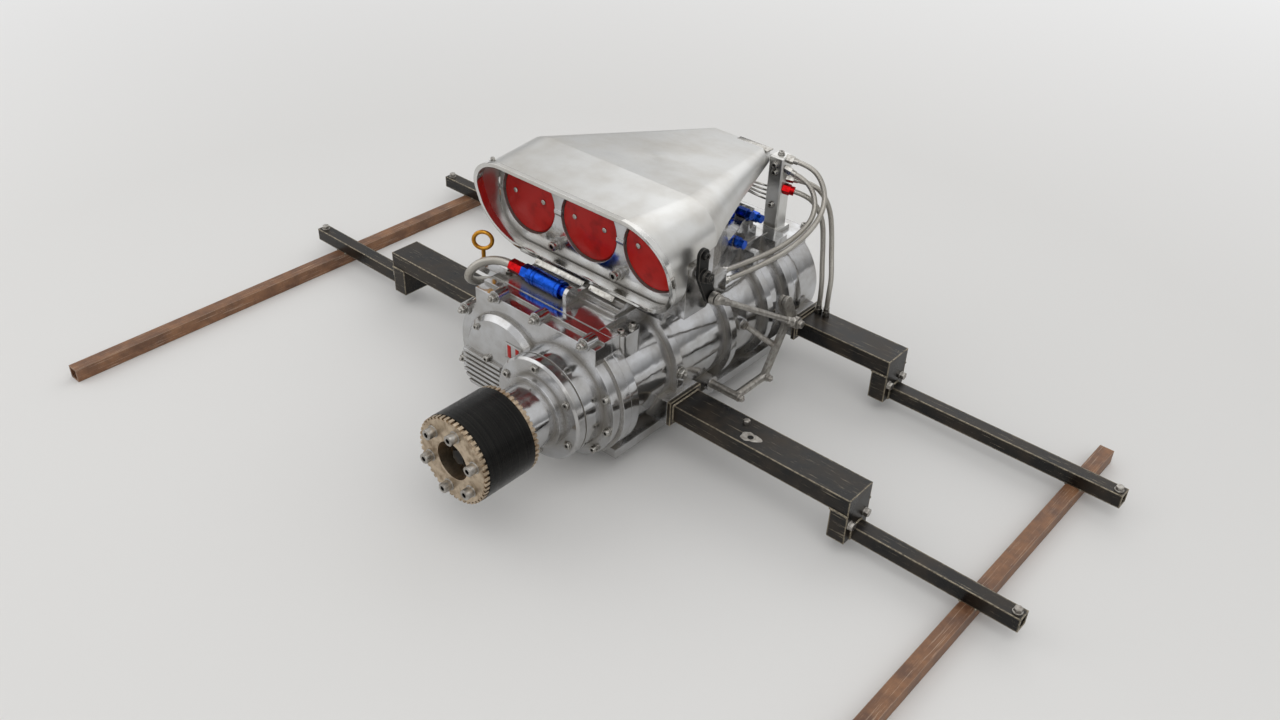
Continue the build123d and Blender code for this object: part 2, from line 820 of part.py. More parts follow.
# Throttle linkage: lever and relay hang parallel, joined by one rod, so each swings as the other does
lean = math.radians(lever_lean)
lever_y, lever_z = lever_reach * math.sin(lean), -lever_reach * math.cos(lean)
pin_y, pin_z = throttle_y + lever_y, throttle_z + lever_z
rod_end_y, rod_end_z = pin_y + rod_back, pin_z - rod_drop
relay_y, relay_z = rod_end_y - lever_y, rod_end_z - lever_z
eye_x = linkage_x + link_gap


def bar_between(start, end, width):
    """A flat bar's outline, rounded about both of its end points."""
    turn = math.degrees(math.atan2(end[1] - start[1], end[0] - start[0]))
    with Locations(((start[0] + end[0]) / 2, (start[1] + end[1]) / 2)):
        SlotCenterToCenter(math.dist(start, end), width, rotation=turn)


def rod_plane(start, end):
    """A plane square to the line from start to end, centred on start."""
    return Plane(origin=start, z_dir=Vector(*end) - Vector(*start))


with BuildPart() as lever:
    with BuildSketch(side_plane(linkage_x - plate_thickness)):
        bar_between((throttle_y, throttle_z), (pin_y, pin_z), lever_width)
        bar_between((throttle_y, throttle_z), (throttle_y, throttle_z + lever_tail), lever_width)
    extrude(amount=plate_thickness)
    with BuildSketch(side_plane(linkage_x)):
        with Locations((throttle_y, throttle_z)):
            Circle(eye_radius)
    extrude(amount=plate_thickness)
    with BuildSketch(side_plane(linkage_x)):
        with Locations((pin_y, pin_z)):
            Circle(pin_radius)
    extrude(amount=link_gap + eye_thickness + link_gap)
save(lever, "throttle_lever")

rod_start = (eye_x + eye_thickness / 2, pin_y, pin_z)
rod_end = (eye_x + eye_thickness / 2, rod_end_y, rod_end_z)
with BuildPart() as link:
    with BuildSketch(rod_plane(rod_start, rod_end)):
        Circle(rod_radius)
    extrude(amount=math.dist(rod_start, rod_end))
    with BuildSketch(side_plane(eye_x)):
        with Locations((pin_y, pin_z), (rod_end_y, rod_end_z)):
            Circle(eye_radius)
    extrude(amount=eye_thickness)
    with BuildSketch(side_plane(eye_x - link_gap / 2)):
        with Locations((pin_y, pin_z)):
            Circle(pin_radius + running_gap)
        with Locations((rod_end_y, rod_end_z)):
            Circle(pin_radius + open_eye_gap)
    extrude(amount=eye_thickness + link_gap, mode=Mode.SUBTRACT)
save(link, "link_rod")

with BuildPart() as relay:
    with BuildSketch(side_plane(linkage_x - plate_thickness)):
        bar_between((relay_y, relay_z), (rod_end_y, rod_end_z), lever_width)
        with Locations((relay_y, relay_z)):
            Circle(pin_radius + running_gap, mode=Mode.SUBTRACT)
    extrude(amount=plate_thickness)
    with BuildSketch(side_plane(linkage_x)):
        with Locations((rod_end_y, rod_end_z)):
            Circle(pin_radius)
    extrude(amount=link_gap + eye_thickness + link_gap)
save(relay, "relay_lever")

# Bracket: the bar that carries the relay, its bent foot tube and its stay
bar_x = linkage_x - plate_thickness - link_gap - plate_thickness
tube_y, tube_z = case_y + boss_back, axis_z - boss_drop
foot = (bar_x + plate_thickness / 2, tube_y + tube_run, tube_z)
corner = (bar_x + plate_thickness / 2, tube_y, tube_z)
stay_start = (stay_boss_reach, case_y + stay_boss_back, axis_z + stay_boss_rise)
stay_root = (stay_start[0] + stay_foot, stay_start[1], stay_start[2])
stay_end = (bar_x + plate_thickness / 2, (foot[1] + rod_end_y) / 2, (foot[2] + rod_end_z) / 2)
with BuildPart() as bracket:
    with BuildSketch(side_plane(bar_x)):
        bar_between((foot[1], foot[2]), (rod_end_y, rod_end_z), arm_bar_width)
        bar_between((rod_end_y, rod_end_z), (relay_y, relay_z), arm_bar_width)
    extrude(amount=plate_thickness)
    with BuildSketch(side_plane(bar_x + plate_thickness)):
        with Locations((relay_y, relay_z)):
            Circle(pin_radius)
    extrude(amount=link_gap + plate_thickness)
    with BuildSketch(rod_plane(corner, foot)):
        Circle(tube_radius)
    extrude(amount=tube_run)
    with BuildSketch(side_plane(boss_reach)):
        with Locations((tube_y, tube_z)):
            Circle(tube_radius)
    extrude(amount=corner[0] - boss_reach + tube_radius)
    with BuildSketch(side_plane(stay_boss_reach)):
        with Locations((stay_start[1], stay_start[2])):
            Circle(stay_foot_radius)
    extrude(amount=stay_foot)
    with BuildSketch(rod_plane(stay_root, stay_end)):
        Circle(stay_radius)
    extrude(amount=math.dist(stay_root, stay_end))
save(bracket, "linkage_bracket")

# Fuel block: a drilled column on a foot, bolted to the rear cover
block_y = case_back_y + block_setback
rear_deck_z = axis_z + flange_top - rear_cover_step
with BuildPart() as fuel_block:
    with BuildSketch(Plane.XY.offset(rear_deck_z)):
        with Locations((block_x, block_y)):
            Rectangle(block_size, block_size)
    extrude(amount=axis_z + block_top - rear_deck_z)
    chamfer(fuel_block.edges().filter_by(Axis.Z) + fuel_block.edges().group_by(Axis.Z)[-1], block_chamfer)
    with BuildSketch(Plane.XY.offset(rear_deck_z)):
        with Locations((block_x, block_y)):
            Rectangle(block_foot, block_foot)
    extrude(amount=block_foot_thickness)
    with BuildSketch(station(block_y - block_size / 2)):
        with Locations(
            (block_x, axis_z + block_top - block_size / 2),
            (block_x, axis_z + block_top - block_size),
        ):
            Circle(port_radius)
    extrude(amount=-port_depth, mode=Mode.SUBTRACT)
save(fuel_block, "fuel_block")

# Hose routes: side, distance behind the case's front, height above the rotor axis
arm_port_height = arm_top_z - axis_z + end_collar_length + end_nut_length
side_upper_route = (
    (98.0, 393.0, 198.0),
    (114.0, 399.0, 195.0),
    (131.0, 403.0, 182.0),
    (144.0, 401.0, 160.0),
    (151.0, 386.0, 138.0),
    (152.0, 355.0, 121.0),
    (151.0, 314.0, 112.0),
    (148.0, 268.0, 110.0),
    (145.0, 224.0, 112.0),
    (144.0, 185.0, 117.0),
)
side_lower_route = (
    (98.0, 389.0, 181.0),
    (113.0, 394.0, 175.0),
    (127.0, 396.0, 161.0),
    (137.0, 390.0, 143.0),
    (142.0, 373.0, 127.0),
    (142.0, 336.0, 117.0),
    (141.0, 293.0, 115.0),
    (140.0, 251.0, 119.0),
    (139.0, 215.0, 124.0),
    (139.0, 185.0, 129.0),
)
rear_inner_route = (
    (98.0, case_length + 36.0, 153.0),
    (114.0, case_length + 43.0, 150.0),
    (129.0, case_length + 49.0, 138.0),
    (140.0, case_length + 54.0, 115.0),
    (144.0, case_length + 56.0, 80.0),
    (151.0, case_length + 50.0, 48.0),
    (160.0, case_length + 42.0, 20.0),
    (160.0, case_length + 42.0, arm_port_height),
)
rear_outer_route = (
    (98.0, case_length + 43.0, 168.0),
    (114.0, case_length + 51.0, 166.0),
    (130.0, case_length + 59.0, 155.0),
    (143.0, case_length + 65.0, 130.0),
    (150.0, case_length + 66.0, 97.0),
    (159.0, case_length + 59.0, 62.0),
    (170.0, case_length + 49.0, 34.0),
    (173.0, case_length + 42.0, 12.0),
    (173.0, case_length + 42.0, arm_port_height),
)
feed_route = (
    (-163.0, 83.0, arm_port_height),
    (-163.0, 83.0, 12.0),
    (-165.0, 66.0, 36.0),
    (-163.0, 38.0, 50.0),
    (-158.0, 10.0, 62.0),
    (-151.0, -8.0, 82.0),
    (-138.0, 3.0, 103.0),
    (-115.0, filter_back, filter_z - axis_z),
    (-92.0, filter_back, filter_z - axis_z),
)


def route_points(route):
    return [Vector(side, case_y + back, axis_z + height) for side, back, height in route]


def bend_radii(points):
    """The arc of each corner, as large as its two runs allow."""
    radii = []
    for before, here, after in zip(points, points[1:], points[2:]):
        turn = math.radians((here - before).get_angle(after - here))
        shorter = min((here - before).length, (after - here).length)
        radii.append(bend_share * shorter / math.tan(turn / 2))
    return radii


def end_fitting(route, nut_radius, root=0.0):
    """A collar and a hexagon before a route's first point, run on by a root into what carries it."""
    first, second = route_points(route[:2])
    face = Plane(origin=first, z_dir=first - second)
    with BuildPart() as fitting:
        with BuildSketch(face):
            Circle(nut_radius - end_wall)
        extrude(amount=end_collar_length)
        with BuildSketch(face.offset(end_collar_length)):
            RegularPolygon(nut_radius, 6)
        extrude(amount=end_nut_length + root)
    return fitting.part


# node, route, hose radius
for label, route, radius in (
    ("hose_side_upper", side_upper_route, hose_radius),
    ("hose_side_lower", side_lower_route, hose_radius),
    ("hose_rear_inner", rear_inner_route, hose_radius),
    ("hose_rear_outer", rear_outer_route, hose_radius),
    ("hose_feed", feed_route, feed_hose_radius),
):
    points = route_points(route)
    with BuildPart() as hose:
        with BuildLine() as path:
            FilletPolyline(*points, radius=bend_radii(points))
        with BuildSketch(Plane(origin=points[0], z_dir=points[1] - points[0])):
            Circle(radius)
        sweep()
    length = sum(edge.length for edge in path.edges())
    filled = hose.part.volume / (math.pi * radius**2 * length)
    arcs = [round(bend) for bend in bend_radii(points)]
    print(label, round(length), "mm long, arcs", arcs, round(filled, 4))
    save(hose, label)

# Hose ends of steel: on the block, on the pad beside the injector body and on the arms
with BuildPart() as hose_ends:
    for route in (side_upper_route, side_lower_route, rear_outer_route):
        add(end_fitting(route, end_nut_radius, end_root))
    for route in (side_upper_route, side_lower_route):
        add(end_fitting(route[::-1], end_nut_radius, end_root))
    for route in (rear_inner_route, rear_outer_route):
        add(end_fitting(route[::-1], end_nut_radius))
    add(end_fitting(feed_route, feed_nut_radius))
    add(fuel_block.part, mode=Mode.SUBTRACT)
    add(body.part, mode=Mode.SUBTRACT)
save(hose_ends, "hose_ends")

# Red nuts: one at the filter's inlet, one on the block
with BuildPart() as red_ends:
    with BuildSketch(side_plane(feed_route[-1][0])):
        with Locations((filter_y, filter_z)):
            RegularPolygon(red_nut_radius, 6)
    extrude(amount=filter_start_x - filter_nut_length - feed_route[-1][0])
    add(end_fitting(rear_inner_route, red_end_radius, end_root))
    add(fuel_block.part, mode=Mode.SUBTRACT)
save(red_ends, "fittings_red")

# Blue anodised pieces: the filter on the deck, and three fittings on the injector body's flank
# side where each starts, distance before the body's back, height above the rotor axis
blue_fittings = ((80.0, 47.0, 156.0), (72.0, 10.0, 134.0), (108.0, 99.0, 143.0))
with BuildPart() as blue:
    # start, length, radius
    for start, length, radius in (
        (filter_start_x, filter_end_x - filter_stub_length - filter_start_x, filter_radius),
        (filter_end_x - filter_stub_length, filter_stub_length, filter_stub_radius),
    ):
        with BuildSketch(side_plane(start)):
            with Locations((filter_y, filter_z)):
                Circle(radius)
        extrude(amount=length)
    with BuildSketch(side_plane(filter_start_x - filter_nut_length)):
        with Locations((filter_y, filter_z)):
            RegularPolygon(filter_nut_radius, 6)
    extrude(amount=filter_nut_length)
    for side, ahead, height in blue_fittings:
        with BuildSketch(side_plane(side)):
            with Locations((case_y + body_back - ahead, axis_z + height)):
                RegularPolygon(blue_nut_radius, 6)
        extrude(amount=blue_nut_length)
        with BuildSketch(side_plane(side + blue_nut_length)):
            with Locations((case_y + body_back - ahead, axis_z + height)):
                Circle(blue_nut_radius - end_wall)
        extrude(amount=blue_collar_length)
    add(body.part, mode=Mode.SUBTRACT)
save(blue, "fittings_blue")

# Gold ring on its stem, on the lug at the case's corner
ring_x = -ring_lug_reach + ring_lug_width / 2
ring_y = case_y + flange_thickness + ring_lug_width / 2
ring_foot_z = axis_z + ring_lug_top
with BuildPart() as pull_ring:
    with BuildSketch(Plane.XY.offset(ring_foot_z)):
        with Locations((ring_x, ring_y)):
            Circle(pull_ring_foot)
    extrude(amount=pull_ring_foot)
    with BuildSketch(Plane.XY.offset(ring_foot_z)):
        with Locations((ring_x, ring_y)):
            Circle(pull_ring_wire)
    extrude(amount=pull_ring_stem)
    ring_centre = (ring_x, ring_y, ring_foot_z + pull_ring_stem + pull_ring_radius)
    around = math.radians(pull_ring_turn)
    with Locations(Plane(origin=ring_centre, z_dir=(math.sin(around), -math.cos(around), 0))):
        Torus(pull_ring_radius, pull_ring_wire)
save(pull_ring, "pull_ring")
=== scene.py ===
# %% [markdown]
# # A supercharger with its intake scoop, dressed for a studio picture
#
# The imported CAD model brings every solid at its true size, in metres, with the rails'
# undersides at height zero. This lesson gives those solids real finishes and adds the small
# things that a machinist would fit last: bolts, nuts, weld beads, blank plates and hoses.
# Nothing of the CAD is moved. Each new piece rides on the CAD body that carries it.

import math

import bmesh
import bpy
from mathutils import Matrix, Vector
from mathutils.bvhtree import BVHTree


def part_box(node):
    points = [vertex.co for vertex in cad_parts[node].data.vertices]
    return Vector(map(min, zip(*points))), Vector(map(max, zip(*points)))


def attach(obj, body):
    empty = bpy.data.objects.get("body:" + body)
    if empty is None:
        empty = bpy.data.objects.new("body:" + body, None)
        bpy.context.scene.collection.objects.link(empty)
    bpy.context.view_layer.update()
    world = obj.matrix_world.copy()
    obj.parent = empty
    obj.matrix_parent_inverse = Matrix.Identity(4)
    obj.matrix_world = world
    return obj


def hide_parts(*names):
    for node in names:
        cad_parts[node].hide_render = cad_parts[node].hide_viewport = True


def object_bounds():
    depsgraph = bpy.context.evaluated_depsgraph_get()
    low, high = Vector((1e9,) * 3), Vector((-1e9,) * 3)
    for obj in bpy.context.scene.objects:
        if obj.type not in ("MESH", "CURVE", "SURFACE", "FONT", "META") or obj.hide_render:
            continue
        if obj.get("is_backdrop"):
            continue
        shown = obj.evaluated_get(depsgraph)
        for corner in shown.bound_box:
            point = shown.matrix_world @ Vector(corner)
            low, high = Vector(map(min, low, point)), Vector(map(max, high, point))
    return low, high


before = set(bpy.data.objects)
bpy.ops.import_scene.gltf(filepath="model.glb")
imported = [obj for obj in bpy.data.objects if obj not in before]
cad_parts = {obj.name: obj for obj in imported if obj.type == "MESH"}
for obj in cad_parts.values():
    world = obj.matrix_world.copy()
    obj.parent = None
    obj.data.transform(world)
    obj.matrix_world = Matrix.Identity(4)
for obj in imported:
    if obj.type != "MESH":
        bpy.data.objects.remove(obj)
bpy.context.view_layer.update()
scene = bpy.context.scene

pulley_low, pulley_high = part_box("cog_pulley")
drive_x = (pulley_low.x + pulley_high.x) / 2
axis_z = (pulley_low.z + pulley_high.z) / 2
case_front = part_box("blower_case")[0].y
print("drive axis at", round(drive_x, 4), round(axis_z, 4))


def at(side, back, height):
    """A place from millimetres towards the driver, behind the case's front, above the shafts."""
    return Vector((side / 1000, case_front + back / 1000, axis_z + height / 1000))


# %% [markdown]
# ## Camera
#
# The picture was taken from the driver's side, above the front corner. Three angles and one
# place describe such a camera: where it looks round the object, how far down it looks, and a
# small roll. A camera at rest looks straight down, so it is rolled first, then tilted up, then
# turned round the object. The focal length was found in pixels of a 1280 pixel frame, so it is
# turned into millimetres on a 36 mm sensor.

# %% Camera
azimuth, elevation, roll = (math.radians(angle) for angle in (40.129, 34.842, 2.130))
camera_place = (0.9031, -0.9390, 1.0091)
focal_pixels, frame_pixels, sensor_width = 1166.3, 1280, 36

camera_data = bpy.data.cameras.new("studio_camera")
camera_data.sensor_width = sensor_width
camera_data.lens = focal_pixels / frame_pixels * sensor_width
camera_data.clip_end = 100
camera = bpy.data.objects.new("studio_camera", camera_data)
scene.collection.objects.link(camera)
turn = Matrix.Rotation(azimuth, 4, "Z") @ Matrix.Rotation(math.pi / 2 - elevation, 4, "X")
camera.matrix_world = Matrix.Translation(camera_place) @ turn @ Matrix.Rotation(roll, 4, "Z")
scene.camera = camera
print("focal length in mm:", round(camera_data.lens, 1))

# %% [markdown]
# ## Helpers for materials
#
# Hex colours are written for a screen, so one function turns them to the linear values that
# the renderer adds up. Others add a node or one step of arithmetic, which keeps a long
# material readable. A material starts with one shader and the object's own coordinates, in
# metres, so that a pattern's scale is a real size. Most values of a noise lie between 0.3
# and 0.7, so a finish that follows a noise is spread over that range.

# %% Colour, node and material helpers
noise_low, noise_high = 0.3, 0.7
near_samples = 6


def colour(hex_code):
    """Linear RGBA of an sRGB hex value."""
    parts = [int(hex_code[i:i + 2], 16) / 255 for i in (1, 3, 5)]
    return (*[p / 12.92 if p <= 0.04045 else ((p + 0.055) / 1.055) ** 2.4 for p in parts], 1)


def set_inputs(tree, node, inputs):
    """Sets each named input to a number, a colour, or another node's output."""
    for socket, value in inputs.items():
        if isinstance(value, bpy.types.NodeSocket):
            tree.links.new(value, node.inputs[socket])
        else:
            node.inputs[socket].default_value = value


def add_node(tree, kind, settings=None, inputs=None):
    """Adds a shader node of this kind with its settings and its inputs."""
    node = tree.nodes.new("ShaderNode" + kind)
    for name, value in (settings or {}).items():
        setattr(node, name, value)
    set_inputs(tree, node, inputs or {})
    return node


def maths(tree, operation, *values):
    """One step of arithmetic on numbers."""
    return add_node(tree, "Math", {"operation": operation}, dict(enumerate(values))).outputs[0]


def vector_maths(tree, operation, *vectors):
    """One step on vectors. A length or a dot product gives a number, the rest a vector."""
    node = add_node(tree, "VectorMath", {"operation": operation}, dict(enumerate(vectors)))
    return node.outputs["Value" if operation in ("LENGTH", "DOT_PRODUCT") else "Vector"]


def start_material(name):
    """A new material with one Principled shader: returns material, tree, shader, coordinates."""
    material = bpy.data.materials.new(name)
    material.use_nodes = True
    tree = material.node_tree
    shader = tree.nodes["Principled BSDF"]
    place = add_node(tree, "TexCoord").outputs["Object"]
    return material, tree, shader, place


def per_metre(size_mm):
    """How many things of size_mm fit in a metre, which is a pattern's scale."""
    return 1000 / size_mm


def noise(tree, place, size_mm, detail=3.0, rough=0.5):
    """A noise from 0 to 1. Its features are size_mm wide, or three sizes along X, Y and Z."""
    scale = 1.0
    if isinstance(size_mm, tuple):
        scales = [per_metre(size) for size in size_mm]
        place = add_node(tree, "Mapping", inputs={"Vector": place, "Scale": scales}).outputs[0]
    else:
        scale = per_metre(size_mm)
    inputs = {"Vector": place, "Scale": scale, "Detail": detail, "Roughness": rough}
    return add_node(tree, "TexNoise", inputs=inputs).outputs["Fac"]


def spread(tree, value, low, high, to_low, to_high):
    """Stretches one value from low..high to to_low..to_high, clamped."""
    inputs = {"Value": value, "From Min": low, "From Max": high, "To Min": to_low, "To Max": to_high}
    return add_node(tree, "MapRange", inputs=inputs).outputs[0]


def varied(tree, pattern, low, high):
    """A number that follows a noise from low to high."""
    return spread(tree, pattern, noise_low, noise_high, low, high)


def blend_colours(tree, factor, first, second):
    """Goes from the first colour to the second as factor goes from 0 to 1."""
    inputs = {"Factor": factor, 6: first, 7: second}  # 6 and 7 are the node's two colours
    return add_node(tree, "Mix", {"data_type": "RGBA"}, inputs).outputs[2]


def two_tones(tree, value, low, high, first, second):
    """Goes from the first hex colour to the second as value goes from low to high."""
    return blend_colours(tree, spread(tree, value, low, high, 0, 1), colour(first), colour(second))


def rounded_normal(tree, radius_mm):
    """The surface's normal, as if its edges were rounded."""
    inputs = {"Radius": radius_mm / 1000}
    return add_node(tree, "Bevel", {"samples": near_samples}, inputs).outputs[0]


def edge_mask(tree, radius_mm):
    """1 on edges and 0 on flats, from how far a rounded normal leaves the true one."""
    true = add_node(tree, "NewGeometry").outputs["True Normal"]
    agreement = vector_maths(tree, "DOT_PRODUCT", rounded_normal(tree, radius_mm), true)
    return spread(tree, agreement, 0.99, 0.86, 0, 1)


def corner_shade_mask(tree, reach_mm):
    """1 in tight corners and 0 in the open, from how much of its surroundings a point sees. Materials
    darken their colour by it, a painted shade.
    """
    inputs = {"Distance": reach_mm / 1000}
    shade = add_node(tree, "AmbientOcclusion", {"samples": near_samples}, inputs)
    return spread(tree, shade.outputs["AO"], 0.85, 0.35, 0, 1)


def rounded_bump(tree, height, distance_mm, strength, radius_mm=0.8):
    """A bump from height on top of softly rounded edges."""
    return add_node(tree, "Bump", inputs={
        "Height": height,
        "Distance": distance_mm / 1000,
        "Strength": strength,
        "Normal": rounded_normal(tree, radius_mm),
    }).outputs[0]


def finish_nodes(names, material):
    """Gives the named CAD nodes this finish."""
    for name in names:
        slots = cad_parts[name].data.materials
        slots.clear()
        slots.append(material)
    print(material.name, "on", len(names), "nodes")


# %% [markdown]
# ## Polished aluminium
#
# The case, covers, snout, hat and injector body are sand-cast aluminium, filed and then
# buffed to a mirror. A buffed casting is never flat: it keeps waves a few centimetres long,
# which bend the reflections, and the mop leaves hazy patches and fine lines. The metal stays
# nearly white, and most of its look comes from the roughness and the waves. The mop can't
# reach into a tight corner, so there the casting stays dull, and its colour there goes grey,
# darker where a point sees less of its surroundings: a painted shade.

# %% Polished aluminium
polished, tree, shader, place = start_material("polished_cast_aluminium")
haze = noise(tree, place, 35, 4.0, 0.6)
wave = noise(tree, place, 28, 1.5)
mop_lines = noise(tree, place, (0.6, 40, 0.6), 2.0)
line_depth = 0.012
# corner is 1 where a point sees little round it: it dulls the metal there and paints shade into its
# colour.
corner = corner_shade_mask(tree, 18)
unshaded = two_tones(tree, haze, 0.35, 0.7, "#c2c3c5", "#a6a4a1")
buffed = spread(tree, haze, 0.3, 0.75, 0.06, 0.20)
dull = spread(tree, corner, 0, 1, 0, 0.45)
height = maths(tree, "MULTIPLY_ADD", mop_lines, line_depth, wave)
set_inputs(tree, shader, {
    "Base Color": blend_colours(tree, corner, unshaded, colour("#8b867e")),
    "Roughness": maths(tree, "ADD", buffed, dull),
    "Metallic": spread(tree, corner, 0, 1, 1, 0.35),
    "Normal": rounded_bump(tree, height, 1.3, 0.6, 1.2),
})
finish_nodes(
    [
        "blower_case", "front_cover", "rear_cover", "rear_cap_left", "rear_cap_right",
        "snout_nose", "snout_retainer", "snout_barrel", "hat_base", "injector_body",
    ],
    polished,
)

# %% [markdown]
# ## Brushed aluminium sheet
#
# The scoop is folded from sheet and rubbed down with a fine pad. The rubbing leaves short
# lines across the scoop, which spread a highlight into a broad white sheen, and hands leave
# faint clouds on it. A noise stretched along X gives the lines. Real lines are about 0.2 mm
# apart, too fine for this picture, so they are drawn 0.8 mm apart. The lip round the mouth is
# buffed brighter. The mouth leans 37 mm over 130 mm of height, so Y plus that share of Z tells
# the lip from the sheet behind it.

# %% Brushed aluminium sheet
brushed, tree, shader, place = start_material("brushed_aluminium_sheet")
clouds = noise(tree, place, 60, 4.0, 0.55)
rubbing = noise(tree, place, (45, 0.8, 0.8), 3.0, 0.6)
lean, lip_depth, lip_fade = 37 / 130, 0.009, 0.003
mouth_bottom = Vector((0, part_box("scoop")[0].y + 0.037, axis_z + 0.118))
lip_end = mouth_bottom.y + mouth_bottom.z * lean + lip_depth
behind_lip = vector_maths(tree, "DOT_PRODUCT", place, (0, 1, lean))
buffed = spread(tree, behind_lip, lip_end, lip_end + lip_fade, 0.25, 1)
set_inputs(tree, shader, {
    "Base Color": two_tones(tree, clouds, 0.38, 0.72, "#d6d6d4", "#c2bfb9"),
    "Roughness": maths(tree, "MULTIPLY", varied(tree, clouds, 0.28, 0.38), buffed),
    "Normal": rounded_bump(tree, rubbing, 0.06, 0.5, 1.0),
    "Metallic": 1,
    "Anisotropic": 0.3,
})
finish_nodes(["scoop", "fuel_block"], brushed)

# %% [markdown]
# ## Machined aluminium, with rings
#
# The toothed discs of the pulley come straight from the lathe. The tool leaves rings round
# the shaft, so the pattern follows the distance from the shaft's axis: the axis is moved to
# the origin, the length along the shaft is dropped, and the length of what is left is the
# radius. Grime gives it a warm tint between the rings.

# %% Machined aluminium
machined, tree, shader, place = start_material("turned_raw_aluminium")
centred = vector_maths(tree, "SUBTRACT", place, (drive_x, 0, axis_z))
radius = vector_maths(tree, "LENGTH", vector_maths(tree, "MULTIPLY", centred, (1, 0, 1)))
rings = add_node(
    tree, "TexNoise", {"noise_dimensions": "1D"},
    {"W": radius, "Scale": per_metre(0.9), "Detail": 2.0},
).outputs["Fac"]
grime = noise(tree, place, 9, 4.0, 0.65)
set_inputs(tree, shader, {
    "Base Color": two_tones(tree, grime, 0.4, 0.7, "#c4b39c", "#8f7c66"),
    "Roughness": varied(tree, grime, 0.28, 0.5),
    "Normal": rounded_bump(tree, rings, 0.05, 0.6, 0.4),
    "Metallic": 1,
})
finish_nodes(["cog_pulley"], machined)

# %% [markdown]
# ## Black anodised sleeve
#
# The belt runs on a hard black sleeve. The belt rubs it round and round, so its marks are
# thin circles: a noise that changes quickly along the shaft and not at all round it. The
# finish is satin and keeps a grey, lengthwise highlight.

# %% Black sleeve
sleeve_black, tree, shader, place = start_material("hard_anodised_black_aluminium")
rubbed = noise(tree, place, (300, 0.45, 300), 3.0, 0.7)
dust = noise(tree, place, 6, 4.0, 0.6)
set_inputs(tree, shader, {
    "Base Color": two_tones(tree, rubbed, 0.42, 0.75, "#141415", "#34332f"),
    "Roughness": varied(tree, dust, 0.24, 0.36),
    "Normal": rounded_bump(tree, rubbed, 0.05, 0.35, 0.4),
    "Metallic": 0.9,
})
finish_nodes(["pulley_sleeve"], sleeve_black)

# %% [markdown]
# ## Steel, red enamel and black oxide
#
# The shafts are ground steel, smooth and a little darker than the aluminium. The rotors are
# machined and stay dull. The three butterflies are enamelled a deep red, with a clear coat
# over it. The lever is blacked steel, which is nearly matt and shows fine dust.

# %% Steel finishes
steel, tree, shader, place = start_material("ground_steel")
grind = noise(tree, place, 0.4, 2.0)
set_inputs(tree, shader, {
    "Base Color": blend_colours(tree, grind, colour("#a4a5a8"), colour("#8a8a8c")),
    "Roughness": varied(tree, grind, 0.18, 0.3),
    "Normal": rounded_bump(tree, grind, 0.02, 0.4, 0.4),
    "Metallic": 1,
})
finish_nodes(["drive_shaft", "throttle_shaft"], steel)

rotor_metal, tree, shader, place = start_material("machined_rotor_aluminium")
cutter = noise(tree, place, (4, 1.2, 4))
set_inputs(tree, shader, {
    "Base Color": blend_colours(tree, cutter, colour("#a5a4a0"), colour("#85827c")),
    "Roughness": varied(tree, cutter, 0.3, 0.45),
    "Normal": rounded_bump(tree, cutter, 0.05, 0.4),
    "Metallic": 1,
})
finish_nodes(["rotor_drive", "rotor_driven"], rotor_metal)

zinc, tree, shader, place = start_material("zinc_plated_steel")
blotch = noise(tree, place, 7, 4.0, 0.65)
set_inputs(tree, shader, {
    "Base Color": two_tones(tree, blotch, 0.35, 0.7, "#b6b3ad", "#87817a"),
    "Roughness": varied(tree, blotch, 0.26, 0.5),
    "Normal": rounded_bump(tree, blotch, 0.12, 0.4, 0.5),
    "Metallic": 1,
})
finish_nodes(["link_rod", "relay_lever", "linkage_bracket"], zinc)

# %% Red enamel and black oxide
red_enamel, tree, shader, place = start_material("red_enamel")
orange_peel = noise(tree, place, 2.5, 2.0)
soot = noise(tree, place, 22, 4.0, 0.6)
set_inputs(tree, shader, {
    "Base Color": two_tones(tree, soot, 0.5, 0.8, "#ad130b", "#760b08"),
    "Roughness": varied(tree, soot, 0.34, 0.5),
    "Normal": rounded_bump(tree, orange_peel, 0.03, 0.35, 0.4),
    "Specular IOR Level": 0.2,
    "Coat Weight": 0.08,
    "Coat Roughness": 0.12,
})
finish_nodes(["butterfly_left", "butterfly_middle", "butterfly_right"], red_enamel)

black_oxide, tree, shader, place = start_material("black_oxide_steel")
grain = noise(tree, place, 1.5, 4.0, 0.6)
oxide = two_tones(tree, grain, 0.45, 0.75, "#121212", "#2a2826")
set_inputs(tree, shader, {
    "Base Color": blend_colours(tree, edge_mask(tree, 1.2), oxide, colour("#6e6a64")),
    "Roughness": varied(tree, grain, 0.35, 0.55),
    "Normal": rounded_bump(tree, grain, 0.05, 0.4, 0.6),
    "Metallic": 0.7,
})
finish_nodes(["throttle_lever"], black_oxide)
